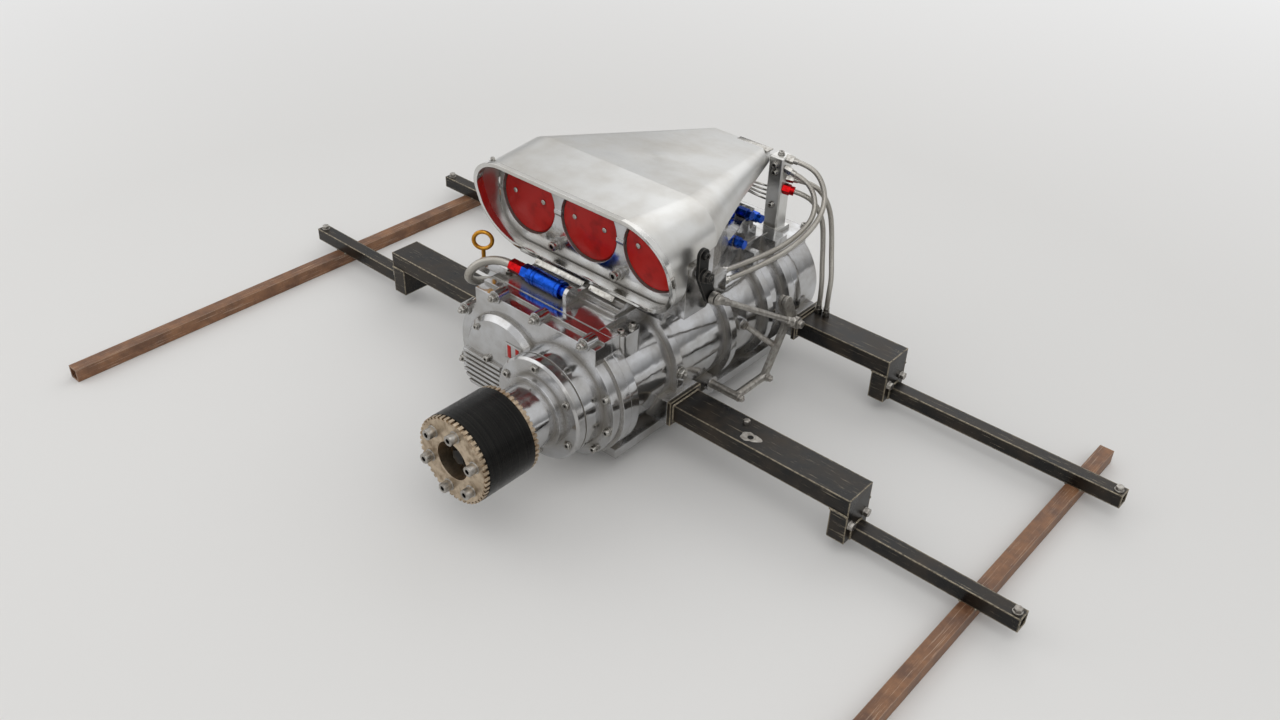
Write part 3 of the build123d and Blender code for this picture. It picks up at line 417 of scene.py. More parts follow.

# %% [markdown]
# ## Painted cradle
#
# The arms and crossbars are welded square tube under satin black paint that has lived in an
# engine bay: its edges are rubbed through to steel, it is scratched along its length, and
# brown dust sits on it. The pale steel edges are drawn wider and brighter than the wear, so
# they are partly a painted edge highlight. The mask for the edges compares a rounded normal
# with the true one, which works on any mesh, also one with loose triangles. The rails wear a
# brown primer that has gone matt and patchy, with pale streaks along their length.

# %% Black paint
arm_paint, tree, shader, place = start_material("satin_black_paint_scratched")
chips = noise(tree, place, 5, 5.0, 0.7)
scratches = noise(tree, place, (55, 1.1, 1.1), 4.0, 0.75)
dust = noise(tree, place, 45, 5.0, 0.6)
# The pale steel edges are partly rubbed-through paint and partly a painted edge highlight, drawn wider
# and brighter than the wear.
pale_edges = maths(tree, "MULTIPLY", edge_mask(tree, 3.4), spread(tree, chips, 0.36, 0.56, 0.25, 1))
pale_marks = maths(tree, "MAXIMUM", pale_edges, spread(tree, scratches, 0.62, 0.68, 0, 0.7))
paint = two_tones(tree, dust, 0.40, 0.66, "#0c0b0a", "#2e261d")
set_inputs(tree, shader, {
    "Base Color": blend_colours(tree, pale_marks, paint, colour("#b3a893")),
    "Metallic": pale_marks,
    "Roughness": varied(tree, dust, 0.24, 0.44),
    "Normal": rounded_bump(tree, chips, 0.12, 0.4, 1.5),
    "Specular IOR Level": 0.3,
})
corners = [f"{end}_{side}" for end in ("front", "rear") for side in ("left", "right")]
finish_nodes([f"{kind}_{corner}" for kind in ("arm", "crossbar") for corner in corners], arm_paint)

# %% Brown primer
primer, tree, shader, place = start_material("brown_primer_worn")
patches = noise(tree, place, 30, 5.0, 0.65)
# Pale streaks along the rails' length lighten the primer.
pale_streaks = noise(tree, place, (1.2, 70, 1.2), 4.0, 0.75)
pale_edges = spread(tree, edge_mask(tree, 1.6), 0, 1, 0, 0.5)
pale_marks = maths(tree, "MAXIMUM", pale_edges, spread(tree, pale_streaks, 0.58, 0.68, 0, 0.75))
paint = two_tones(tree, patches, 0.35, 0.68, "#5f3f2b", "#8f6647")
set_inputs(tree, shader, {
    "Base Color": blend_colours(tree, pale_marks, paint, colour("#c4ae98")),
    "Roughness": varied(tree, patches, 0.42, 0.62),
    "Normal": rounded_bump(tree, patches, 0.2, 0.4, 1.0),
})
finish_nodes(["rail_left", "rail_right"], primer)

# %% [markdown]
# ## Anodised and plated fittings
#
# The hose fittings are turned aluminium, anodised blue or red: a clear dyed skin over bright
# metal. So they stay metallic, with the dye as the metal's colour, and faint turning lines.
# The ring is cast steel with a gold passivated plating that is uneven. One function makes
# them and the nickel plate, as only colour and wear differ, and each of them goes a
# near-black brown in tight corners: a painted shade.

# %% Dyed and plated metals
def dyed_metal(name, bright, dull, patch_mm, smooth, rough):
    """A coloured metal skin: two shades in patches, and a roughness range."""
    made, tree, shader, place = start_material(name)
    patch = noise(tree, place, patch_mm, 4.0, 0.6)
    lines = noise(tree, place, (0.5, 12, 12), 2.0)
    skin = two_tones(tree, patch, 0.35, 0.7, bright, dull)
    set_inputs(tree, shader, {
        # Painted shade: the skin goes a near-black brown in tight corners.
        "Base Color": blend_colours(tree, corner_shade_mask(tree, 4), skin, colour("#1c1714")),
        "Roughness": varied(tree, patch, smooth, rough),
        "Normal": rounded_bump(tree, lines, 0.03, 0.4, 0.5),
        "Metallic": 1,
    })
    return made


blue_skin = dyed_metal("blue_anodised_aluminium", "#1f57c8", "#123a94", 6, 0.2, 0.34)
red_skin = dyed_metal("red_anodised_aluminium", "#c4161a", "#8c0f12", 6, 0.2, 0.34)
gold_skin = dyed_metal("gold_passivated_steel", "#d49a3a", "#9c6620", 5, 0.22, 0.42)
nickel = dyed_metal("nickel_plated_steel", "#bfbdb8", "#949089", 5, 0.18, 0.34)
finish_nodes(["fittings_blue"], blue_skin)
finish_nodes(["fittings_red"], red_skin)
finish_nodes(["pull_ring"], gold_skin)
finish_nodes(["hose_ends"], nickel)

# %% [markdown]
# ## Braided stainless hose
#
# The fuel hoses are rubber under a braid of stainless wires. Bundles of wires run round the
# hose both ways and pass over and under each other. The pattern has to follow the hose round
# its bends, so it uses the hose's own coordinates: U counts turns round it and V is the length
# in metres. Adding and subtracting the two gives the two slanted families, a checker says
# which family is on top, and a sine makes each bundle round.

# %% Braid
braid, tree, shader, place = start_material("braided_stainless_wire")
bundles_round, bundle_length = 10, 2.6
along = add_node(tree, "UVMap", {"uv_map": "hose_length"}).outputs[0]
split = add_node(tree, "SeparateXYZ", inputs={0: along})
turns = maths(tree, "MULTIPLY", split.outputs["X"], bundles_round)
pitch = maths(tree, "MULTIPLY", split.outputs["Y"], per_metre(bundle_length))
one_way = maths(tree, "ADD", turns, pitch)
other_way = maths(tree, "SUBTRACT", turns, pitch)
cells = add_node(tree, "CombineXYZ", inputs={"X": one_way, "Y": other_way}).outputs[0]
on_top = add_node(tree, "TexChecker", inputs={"Vector": cells, "Scale": 1}).outputs["Fac"]


def bundle(tree, value):
    """The height of a round bundle across one unit of value."""
    folded = maths(tree, "PINGPONG", value, 0.5)
    return maths(tree, "SINE", maths(tree, "MULTIPLY", folded, math.pi))


heights = {"Factor": on_top, "A": bundle(tree, one_way), "B": bundle(tree, other_way)}
weave = add_node(tree, "Mix", {"data_type": "FLOAT"}, heights).outputs[0]
wear = noise(tree, place, 30)
wire = blend_colours(tree, wear, colour("#d2cfc8"), colour("#b0aaa0"))
bump = add_node(tree, "Bump", inputs={"Height": weave, "Distance": 0.0004, "Strength": 0.6})
set_inputs(tree, shader, {
    "Base Color": blend_colours(tree, spread(tree, weave, 0.1, 0.7, 0, 1), colour("#3b3731"), wire),
    "Roughness": spread(tree, weave, 0, 1, 0.5, 0.26),
    "Normal": bump.outputs[0],
    "Metallic": 1,
})
print(braid.name, "with", bundles_round, "bundles round a hose")

# %% [markdown]
# ## Helpers for small pieces
#
# Bolts, plates and beads are modelled with bmesh operators. Each helper adds a shape to an
# open bmesh, standing on the XY plane with its head up Z, and a placing matrix turns Z to the
# way the real bolt faces. One function closes the bmesh, makes the object with its place in
# its mesh, and lets it ride on a body.

# %% Piece helpers
FRONT, BACK, UP = Vector((0, -1, 0)), Vector((0, 1, 0)), Vector((0, 0, 1))
RIGHT, LEFT = Vector((1, 0, 0)), Vector((-1, 0, 0))
washer_thickness = 0.0012


def facing(place, way, ahead=0.0):
    """A matrix that turns +Z to way and moves the origin to place, or ahead metres beyond it."""
    return Matrix.Translation(place + ahead * way) @ way.to_track_quat("Z", "Y").to_matrix().to_4x4()


search_trees, outside = {}, 0.3


def seat(name, place, way):
    """Where a line that comes from outside, against way, first meets a CAD node."""
    if name not in search_trees:
        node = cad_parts[name]
        points = [node.matrix_world @ v.co for v in node.data.vertices]
        search_trees[name] = BVHTree.FromPolygons(points, [tuple(p.vertices) for p in node.data.polygons])
    return search_trees[name].ray_cast(place + outside * way, -way)[0]


def make_piece(name, mesh, materials, body="assembly", smooth=40):
    """Closes a bmesh into an object that rides on a CAD body."""
    data = bpy.data.meshes.new(name)
    mesh.to_mesh(data)
    mesh.free()
    for material in materials:
        data.materials.append(material)
    data.shade_smooth()
    data.set_sharp_from_angle(angle=math.radians(smooth))
    piece = bpy.data.objects.new(name, data)
    scene.collection.objects.link(piece)
    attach(piece, body)
    print(name, len(data.polygons), "faces")
    return piece


def soften(mesh, edges, width):
    """Bevels the given edges."""
    bmesh.ops.bevel(
        mesh, geom=edges, offset=width, offset_type="OFFSET", segments=2,
        profile=0.5, material=-1, affect="EDGES",
    )


def disc(mesh, matrix, radius, depth, segments=24, bevel=0.0, top_radius=None):
    """A short cylinder standing on its place. Returns its highest face."""
    made = bmesh.ops.create_cone(
        mesh, cap_ends=True, segments=segments, radius1=radius,
        radius2=radius if top_radius is None else top_radius, depth=depth,
        matrix=matrix @ Matrix.Translation((0, 0, depth / 2)),
    )
    faces = list({f for v in made["verts"] for f in v.link_faces})
    up = (matrix.to_3x3() @ UP).normalized()
    top = max((f for f in faces if len(f.verts) > 4), key=lambda f: f.calc_center_median().dot(up))
    if bevel:
        soften(mesh, list(top.edges), bevel)
        centre = matrix @ Vector((0, 0, depth))
        top = min(
            (f for f in mesh.faces if len(f.verts) >= segments and f.normal.dot(up) > 0.99),
            key=lambda f: (f.calc_center_median() - centre).length,
        )
    return top


def socket_bolt(mesh, matrix, radius, height):
    """A cap screw: a knurl-sized head with a hexagonal socket. The socket takes the second material,
    black in every piece, as a painted shade in the recess.
    """
    top = disc(mesh, matrix, radius, height, 24, radius * 0.12)
    mesh.normal_update()
    bmesh.ops.inset_region(mesh, faces=[top], thickness=radius * 0.32, use_even_offset=True)
    back = matrix.inverted()
    half_side = math.pi / 6
    for vertex in top.verts:
        local = back @ vertex.co
        angle = math.atan2(local.y, local.x)
        flat = radius * 0.46 / math.cos((angle + half_side) % (2 * half_side) - half_side)
        vertex.co = matrix @ Vector((flat * math.cos(angle), flat * math.sin(angle), local.z))
    floor = bmesh.ops.extrude_discrete_faces(mesh, faces=[top])["faces"]
    up = (matrix.to_3x3() @ UP).normalized()
    bmesh.ops.translate(mesh, verts=list(floor[0].verts), vec=-up * height * 0.55)
    # The socket's faces take the second material, which is black: a painted shade in the recess.
    for face in {f for v in floor[0].verts for f in v.link_faces}:
        face.material_index = 1


def hex_nut(mesh, matrix, across, height, stud=0.0):
    """A nut with chamfered corners, and a stud through it where stud is its length above."""
    top = disc(mesh, matrix, across / math.sqrt(3), height, 6)
    soften(mesh, list(top.edges), height * 0.12)
    if stud:
        disc(mesh, matrix, across * 0.27, height + stud, 16, across * 0.04)


def washer(mesh, matrix, radius, thickness=washer_thickness):
    """A flat washer."""
    disc(mesh, matrix, radius, thickness, 28, 0.0003)


def screw_on_washer(mesh, place, way, rim, radius, height, thickness=washer_thickness):
    """A washer of radius rim under a cap screw, both facing way."""
    washer(mesh, facing(place, way), rim, thickness)
    socket_bolt(mesh, facing(place, way, thickness), radius, height)


def nut_on_washer(mesh, place, way, rim, across, height, stud=0.0, thickness=washer_thickness):
    """A washer of radius rim under a nut, both facing way."""
    washer(mesh, facing(place, way), rim, thickness)
    hex_nut(mesh, facing(place, way, thickness), across, height, stud)


def box(mesh, matrix, x, y, z, bevel=0.0003):
    """A plate or block standing on its place, with softened edges."""
    made = bmesh.ops.create_cube(
        mesh, size=1, matrix=matrix @ Matrix.Translation((0, 0, z / 2)) @ Matrix.Diagonal((x, y, z, 1))
    )
    soften(mesh, list({e for v in made["verts"] for e in v.link_edges}), bevel)


drop = bmesh.new()
bmesh.ops.create_uvsphere(drop, u_segments=8, v_segments=6, radius=1)
drop_data = bpy.data.meshes.new("weld_drop")
drop.to_mesh(drop_data)
drop.free()
drop_spacing, drop_length, drop_width, drop_height = 0.0024, 0.0019, 0.0024, 0.0024 / 1.4


def weld(mesh, start, end):
    """A bead along a seam: flat drops that overlap like a row of coins."""
    start, end = Vector(start), Vector(end)
    run = end - start
    count = max(2, round(run.length / drop_spacing))
    turn = run.to_track_quat("X", "Z").to_matrix().to_4x4()
    for step in range(count + 1):
        wobble = 1 + 0.16 * math.sin(2.3 * step + 40 * start.x)
        size = (drop_length, drop_width * wobble, drop_height * wobble, 1)
        place = Matrix.Translation(start + run * step / count)
        placed = drop_data.copy()
        placed.transform(place @ turn @ Matrix.Diagonal(size))
        mesh.from_mesh(placed)
        bpy.data.meshes.remove(placed)


def route_curve(points):
    """Points of a smooth line steered by a few route points, read from its NURBS spline."""
    data = bpy.data.curves.new("route", "CURVE")
    data.dimensions = "3D"
    data.resolution_u = 12
    spline = data.splines.new("NURBS")
    spline.points.add(len(points) - 1)
    for target, point in zip(spline.points, points):
        target.co = (*point, 1)
    spline.order_u = 3
    spline.use_endpoint_u = True
    holder = bpy.data.objects.new("route", data)
    line = bpy.data.meshes.new_from_object(holder)
    read = [v.co.copy() for v in line.vertices]
    bpy.data.objects.remove(holder)
    return read


def tube(mesh, points, radius, sides, measure=None):
    """Sweeps a circle along points. With a UV layer, U is turns round it and V its length."""
    ways = [(b - a).normalized() for a, b in zip(points, points[1:])]
    ways = [ways[0]] + [(a + b).normalized() for a, b in zip(ways, ways[1:])] + [ways[-1]]
    turn = ways[0].to_track_quat("Z", "X")
    places = [Matrix.Translation(points[0]) @ turn.to_matrix().to_4x4()]
    for before, here, point in zip(ways, ways[1:], points[1:]):
        turn = before.rotation_difference(here) @ turn
        places.append(Matrix.Translation(point) @ turn.to_matrix().to_4x4())
    ring = bmesh.ops.create_circle(mesh, cap_ends=False, segments=sides, radius=radius, matrix=places[0])
    verts = ring["verts"]
    column = {v: i for i, v in enumerate(verts)}
    row = {v: 0.0 for v in verts}
    edges = [e for e in {e for v in verts for e in v.link_edges} if all(v in column for v in e.verts)]
    first, length = list(edges), 0.0
    for before, here, step in zip(places, places[1:], range(1, len(places))):
        length += (points[step] - points[step - 1]).length
        old = {v.co.copy().freeze(): column[v] for e in edges for v in e.verts}
        made = bmesh.ops.extrude_edge_only(mesh, edges=edges)["geom"]
        verts = [g for g in made if isinstance(g, bmesh.types.BMVert)]
        new = set(verts)
        edges = [g for g in made if isinstance(g, bmesh.types.BMEdge) and set(g.verts) <= new]
        for v in verts:
            column[v] = old[v.co.copy().freeze()]
            row[v] = length
        bmesh.ops.transform(mesh, matrix=here @ before.inverted(), verts=verts)
    if measure:
        for face in {f for v in column for f in v.link_faces}:
            wraps = {column[v] for v in face.verts} == {0, sides - 1}
            for loop in face.loops:
                turns = sides if wraps and column[loop.vert] == 0 else column[loop.vert]
                loop[measure].uv = (turns / sides, row[loop.vert])
    bmesh.ops.edgeloop_fill(mesh, edges=first)
    bmesh.ops.edgeloop_fill(mesh, edges=edges)
    bmesh.ops.recalc_face_normals(mesh, faces=list({f for v in column for f in v.link_faces}))


# %% [markdown]
# ## Pulley bolts
#
# Six long cap screws hold the front disc, on a circle 84 mm across. Their heads stand well
# out of the disc and turn with it, so they ride on the drive train. A washer and a bolt in
# the bore hold the pulley on its shaft. Both are black, so that the bore reads dark: a
# painted shade of a hollow bore.

# %% Pulley bolts
bolt_circle, bolt_count, first_bolt = 0.042, 6, 18
bolts = bmesh.new()
for number in range(bolt_count):
    angle = math.radians(360 / bolt_count * number + first_bolt)
    side, up = bolt_circle * math.cos(angle), bolt_circle * math.sin(angle)
    place = Vector((drive_x + side, pulley_low.y, axis_z + up))
    screw_on_washer(bolts, place, FRONT, 0.0082, 0.0068, 0.0105)
# The black second material darkens the sockets: a painted shade.
make_piece("pulley_bolts", bolts, [zinc, black_oxide], "drive_train")

hub_depth = 0.0035
place = Vector((drive_x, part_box("drive_shaft")[0].y, axis_z))
# Washer and bolt both in black oxide: a painted shade, so that the bore reads dark.
hub = bmesh.new()
disc(hub, facing(place, FRONT), 0.0225, hub_depth, 40, 0.0006)
hex_nut(hub, facing(place, FRONT, hub_depth), 0.019, 0.010)
make_piece("pulley_hub_bolt", hub, [black_oxide], "drive_train")

# %% [markdown]
# ## Screws and nuts on the castings
#
# A table holds each screw: its node, its place, the way it faces, and its head's radius and
# height. A line is sent against that way until it meets the node, so that every head sits
# on the metal, however the casting is shaped there.

# %% Cap screws
shaft_side, beyond_cover = 52, 440


def ring(node, side, radius, angles, back, way, *head):
    """Rows for screws on a circle. A radius below zero mirrors the circle."""
    turns = [math.radians(angle) for angle in angles]
    return [
        (node, side + radius * math.cos(turn), back, abs(radius) * math.sin(turn), way, *head)
        for turn in turns
    ]


# node, side, back, height, way, head's radius and head's height, in mm
cap_screws = [
    *ring("snout_retainer", shaft_side, 61, range(32, 392, 60), -100, FRONT, 5.0, 2.2),
    *ring("front_cover", shaft_side, 82, (21, -14, -46, -80), -40, FRONT, 4.6, 5.5),
    *ring("front_cover", -shaft_side, -79, (-52, -84), -40, FRONT, 4.6, 5.5),
]
for sign, cap in ((-1, "rear_cap_left"), (1, "rear_cap_right")):
    side = sign * shaft_side
    cap_screws += [
        *ring(cap, side, 27, range(18, 378, 72), beyond_cover, BACK, 3.6, 4.0),
        *ring("rear_cover", side, sign * 72, (-78, -40, -2, 36), beyond_cover, BACK, 4.6, 5.0),
        ("injector_body", sign * 54.5, 60, 137, FRONT, 6.6, 7.5),
        ("blower_case", sign * 101, 24, 100, UP, 4.6, 5.0),
        ("blower_case", sign * 101, 46, 100, UP, 4.6, 5.0),
        ("rear_cover", sign * 40, beyond_cover, 76, BACK, 4.6, 5.0),
        ("rear_cover", sign * 104, 420, 100, UP, 4.6, 5.0),
    ]
cap_screws += [
    ("front_cover", -77, -60, -1, FRONT, 4.6, 4.5),
    ("front_cover", -96, -60, 41, FRONT, 3.8, 3.0),
    ("rear_cover", 0, beyond_cover, -72, BACK, 4.6, 5.0),
]
thin_washer, washer_margin = 0.0009, 1.3
screws = bmesh.new()
for node, side, back, height, way, radius, head in cap_screws:
    place = seat(node, at(side, back, height), way)
    rim = (radius + washer_margin) / 1000
    screw_on_washer(screws, place, way, rim, radius / 1000, head / 1000, thin_washer)
place = seat("blower_case", at(160, 97, 12), RIGHT)
boss_nut = 0.0062
nut_on_washer(screws, place, RIGHT, 0.0086, 0.0130, boss_nut)
disc(screws, facing(place, RIGHT, washer_thickness + boss_nut), 0.0030, 0.0025, 20, 0.0006)
# The black second material darkens the sockets: a painted shade.
make_piece("cap_screws", screws, [nickel, black_oxide])

# %% Nuts on the cover's ears
nuts = bmesh.new()
for side, height in ((-68, 94), (7, 94), (90, 94), (-129, 50), (-133, -30)):
    place = seat("front_cover", at(side, -40, height), FRONT)
    nut_on_washer(nuts, place, FRONT, 0.0068, 0.0095, 0.0060, 0.0035)
make_piece("cover_nuts", nuts, [nickel])

# %% [markdown]
# ## Butterfly faces
#
# Each butterfly is a disc screwed to a flat on the shaft, so the shaft doesn't cross its front.
# A thin enamelled face covers the half of the shaft in front, with its rim bevelled so that it
# clears the throat as it swings, and two small screws hold it. It turns with the throttle.

# %% Butterfly faces
throat_spacing, shaft_back, shaft_height = 109, 79, 183
disc_half, face_depth, screw_depth = 1.5, 0.0040, 0.0013
faces, face_screws = bmesh.new(), bmesh.new()
for column in (-1, 0, 1):
    place = at(throat_spacing * column, shaft_back - disc_half, shaft_height)
    disc(faces, facing(place, FRONT), 0.0475, face_depth, 72, 0.0010, 0.0462)
    for x in (-0.026, 0.026):
        head = place + Vector((x, -face_depth, 0.004))
        disc(face_screws, facing(head, FRONT), 0.0036, screw_depth, 20, 0.0006)
        disc(face_screws, facing(head, FRONT, screw_depth), 0.0016, 0.0002, 6)
make_piece("butterfly_faces", faces, [red_enamel], "throttle")
make_piece("butterfly_screws", face_screws, [nickel], "throttle")

# %% [markdown]
# ## Linkage hardware
#
# Each end of the rod has a jam nut behind its eye, and a nut with a washer keeps each eye on
# its pin. The nuts on the pins belong to the levers, because pin and nut turn with the lever
# while the eye turns on them.

# %% Linkage hardware
link_low, link_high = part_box("link_rod")
lever_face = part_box("throttle_lever")[0].x
lever_arm, lever_lean = 42, math.radians(26)
lever_pin = at(
    0, shaft_back + lever_arm * math.sin(lever_lean), shaft_height - lever_arm * math.cos(lever_lean)
)
relay_pin = lever_pin + Vector((0, 0.198, -0.128))
rod_way = (relay_pin - lever_pin).normalized()
eye_middle = (link_low.x + link_high.x) / 2
eye_gap = 0.0006

for name, pin, body, slot in (
    ("lever_pin_nut", lever_pin, "throttle", "lever_black"),
    ("relay_pin_nut", relay_pin, "relay", "linkage_steel"),
):
    nut = bmesh.new()
    place = Vector((link_high.x + eye_gap, pin.y, pin.z))
    nut_on_washer(nut, place, RIGHT, 0.0070, 0.0110, 0.0042, thickness=thin_washer)
    make_piece(name, nut, [zinc], body)

jam = bmesh.new()
for pin, way in ((lever_pin, rod_way), (relay_pin, -rod_way)):
    start = Vector((eye_middle, pin.y, pin.z))
    hex_nut(jam, facing(start, way, 0.0115), 0.0115, 0.0055)
    disc(jam, facing(start, way, 0.0080), 0.0052, 0.0240, 16, 0.0006)
make_piece("rod_jam_nuts", jam, [zinc], "link")

hub = bmesh.new()
place = at(0, shaft_back, shaft_height)
place.x = lever_face + 0.010
nut_on_washer(hub, place, RIGHT, 0.0080, 0.0130, 0.0055, 0.0025)
screw = at(0, shaft_back, shaft_height + 27)
screw.x = lever_face + 0.005
socket_bolt(hub, facing(screw, RIGHT), 0.0050, 0.0050)
make_piece("lever_hardware", hub, [black_oxide, black_oxide], "throttle")

foot = bmesh.new()
for back in (251, 185):
    place = seat("linkage_bracket", at(170, back, -58), RIGHT)
    nut_on_washer(foot, place, RIGHT, 0.0062, 0.0090, 0.0050, 0.0020)
make_piece("bracket_nuts", foot, [zinc])

# %% [markdown]
# ## Braided hoses
#
# The five hoses keep the routes of the plain CAD hoses: a quadratic NURBS line is steered by
# the same few points. The new tubes have 20 sides and a UV layer, which the braid needs, and
# they take the place of the CAD's. Steel braid over rubber is stiff, so each hose stands in
# one springy bow between its ends. The table also gives the length a fitter would cut.

# %% Hoses
arm_port, hose_sides = -11, 20  # the height of the hose ends on the arms, and a tube's sides
# node, radius and cut length in mm, route in mm
hoses = (
    ("hose_side_upper", 3.75, 297, (
        (98, 393, 198), (114, 399, 195), (131, 403, 182), (144, 401, 160), (151, 386, 138),
        (152, 355, 121), (151, 314, 112), (148, 268, 110), (145, 224, 112), (144, 185, 117))),
    ("hose_side_lower", 3.75, 271, (
        (98, 389, 181), (113, 394, 175), (127, 396, 161), (137, 390, 143), (142, 373, 127),
        (142, 336, 117), (141, 293, 115), (140, 251, 119), (139, 215, 124), (139, 185, 129))),
    ("hose_rear_inner", 3.75, 192, (
        (98, 392, 153), (114, 399, 150), (129, 405, 138), (140, 410, 115), (144, 412, 80),
        (151, 406, 48), (160, 398, 20), (160, 398, arm_port))),
    ("hose_rear_outer", 3.75, 215, (
        (98, 399, 168), (114, 407, 166), (130, 415, 155), (143, 421, 130), (150, 422, 97),
        (159, 415, 62), (170, 405, 34), (173, 398, 12), (173, 398, arm_port))),
    ("hose_feed", 6.0, 217, (
        (-163, 83, arm_port), (-163, 83, 12), (-165, 66, 36), (-163, 38, 50), (-158, 10, 62),
        (-151, -8, 82), (-138, 3, 103), (-115, 22, 110), (-92, 22, 110))),
)
for name, radius, length, route in hoses:
    hose = bmesh.new()
    layer = hose.loops.layers.uv.new("hose_length")
    path = route_curve([at(*point) for point in route])
    tube(hose, path, radius / 1000, hose_sides, layer)
    piece = make_piece("braided_" + name, hose, [braid], smooth=60)
    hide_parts(name)
    run = sum((b - a).length for a, b in zip(path, path[1:]))
    print(name, "is", round(1000 * run), "mm long")

# %% [markdown]
# ## Injector nozzles and hard lines
#
# Eight nozzles stand on the slanted top of the injector body, four on each side of the air
# chamber. Each is a blue or steel hexagon with a collar, and a bright tube 3 mm across bends
# back from it to the fuel block, as a fitter would bend it: straight up, over, and away.

# %% Nozzles and hard lines
nut_height, collar_height, inside_collar = 0.0070, 0.0050, 0.0035
rise, crest, line_radius = 0.012, 0.016, 0.0016
steel_nozzles, blue_nozzles, lines = bmesh.new(), bmesh.new(), bmesh.new()
for number, (back, side) in enumerate(((206, 104), (236, 92), (266, 80), (298, 67))):
    for sign in (1, -1):
        place = seat("injector_body", at(sign * side, back, 150), UP)
        target = blue_nozzles if (number + (sign > 0)) % 2 else steel_nozzles
        hex_nut(target, facing(place, UP), 0.0110, nut_height)
        disc(target, facing(place, UP, nut_height), 0.0040, collar_height, 16, 0.0006)
        top = place + (nut_height + inside_collar) * UP
        end = at(62, 386, 150 - 7 * number)
        across = sign * (0.040 - 0.004 * number)
        middle = Vector((across, (top.y + end.y) / 2, max(top.z, end.z) + crest))
        entry = end - Vector((0.030, 0.004, 0))
        path = route_curve([top, top + rise * UP, middle, entry, end])
        tube(lines, path, line_radius, 8)
make_piece("steel_nozzles", steel_nozzles, [nickel])
make_piece("blue_nozzles", blue_nozzles, [blue_skin])
make_piece("hard_lines", lines, [nickel], smooth=60)

# %% Plugs in the fuel block's spare ports
block_middle = 73.01  # a little off the middle, where a line could slip between two faces
in_port, flange = 0.004, 0.0016
plugs = bmesh.new()
for back, height, way in (
    (372, 192, FRONT), (372, 180, FRONT), (387, 230, UP), (372, 130, FRONT), (410, 190, BACK),
):
    place = seat("fuel_block", at(block_middle, back, height), way)
    if way == FRONT and height > 150:
        place.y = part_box("fuel_block")[0].y + in_port
    disc(plugs, facing(place, way), 0.0052, flange, 20, 0.0004)
    socket_bolt(plugs, facing(place, way, flange), 0.0040, 0.0030)
# The black second material darkens the sockets: a painted shade.
make_piece("block_plugs", plugs, [nickel, black_oxide])

# %% [markdown]
# ## Weld beads and bolts on the cradle
#
# The arms are welded up from square tube. A bead runs round each arm where it meets its plate,
# along the corner above the drop leg, and round each crossbar where it meets the leg and
# crosses its rail. Two bolts go through each leg, and one through each crossbar's end.

# %% Cradle welds and bolts
beads, cradle_bolts = bmesh.new(), bmesh.new()
arm_half, bar_half = 0.025, 0.010
plate_depth, leg_depth, weld_depth = 0.006, 0.025, 0.025
rail_edges, bar_bolt_x, leg_bolt_half, leg_bolt_z = (0.577, 0.597), 0.640, 0.017, 0.047
for corner in corners:
    low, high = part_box("arm_" + corner)
    bar_low, bar_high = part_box("crossbar_" + corner)
    sign, out = (1, RIGHT) if corner.endswith("right") else (-1, LEFT)
    middle = (low.y + high.y) / 2
    inner = (low.x if sign > 0 else high.x) + sign * plate_depth
    outer = high.x if sign > 0 else low.x
    top = high.z - plate_depth
    under = top - weld_depth
    for y in (middle - arm_half, middle + arm_half):
        weld(beads, (inner, y, under), (inner, y, top))
        weld(beads, (outer - sign * leg_depth, y, under), (outer - sign * 0.001, y, under))
    weld(beads, (inner, middle - arm_half, top), (inner, middle + arm_half, top))
    near, far = middle - bar_half, middle + bar_half
    for y in (near, far):
        weld(beads, (outer, y, bar_low.z), (outer, y, bar_high.z))
    weld(beads, (outer, near, bar_high.z), (outer, far, bar_high.z))
    for x in rail_edges:
        weld(beads, (sign * x, near, bar_low.z), (sign * x, far, bar_low.z))
    for y in (middle - leg_bolt_half, middle + leg_bolt_half):
        place = Vector((outer, y, leg_bolt_z))
        nut_on_washer(cradle_bolts, place, out, 0.0062, 0.0100, 0.0055)
    place = Vector((sign * bar_bolt_x, middle, bar_high.z))
    nut_on_washer(cradle_bolts, place, UP, 0.0062, 0.0095, 0.0050)
make_piece("cradle_welds", beads, [arm_paint], smooth=60)

# %% Scraped patch, black discs painted as shade in its hole and round a bolt's foot, and the bolt on the front right arm
arm_top = 89 - 114
patch = bmesh.new()
place = facing(at(265, 90, arm_top), UP) @ Matrix.Rotation(math.radians(12), 4, "Z")
disc(patch, place @ Matrix.Diagonal((1.5, 0.9, 1, 1)), 0.0095, 0.0004, 28)
centre = place.translation
for vertex in patch.verts:
    out = vertex.co - centre
    angle = math.atan2(out.y, out.x)
    reach = 1 + 0.14 * math.sin(3 * angle + 1) + 0.07 * math.sin(7 * angle)
    vertex.co = centre + Vector((out.x * reach, out.y * reach, out.z))
make_piece("arm_patch", patch, [zinc])
bolt_side, bolt_back = 244, 111
# Two thin black discs stand for the shade in the patch's hole and round the bolt's foot: painted shade.
hole_shade = bmesh.new()
disc(hole_shade, facing(at(266, 90, arm_top + 0.3), UP), 0.0042, 0.0003, 24)
disc(hole_shade, facing(at(bolt_side, bolt_back, arm_top), UP), 0.0050, 0.0006, 24)
make_piece("arm_hole_shade_discs", hole_shade, [black_oxide])
hex_nut(cradle_bolts, facing(at(bolt_side, bolt_back, arm_top + 0.4), UP), 0.0085, 0.0045)
make_piece("cradle_bolts", cradle_bolts, [zinc])

# %% [markdown]
# ## Small plates and screws of the intake
#
# Two blank plates lean on the steps before the hat, one each side of the filter's bracket,
# each with four rivets. They are cut from flat bar, so each is a box with a fine bevel. A
# small screw stands on the scoop's corner, a tab closes its rear edge, and a blank badge with
# two red bars of paint sits on the cover's dome.

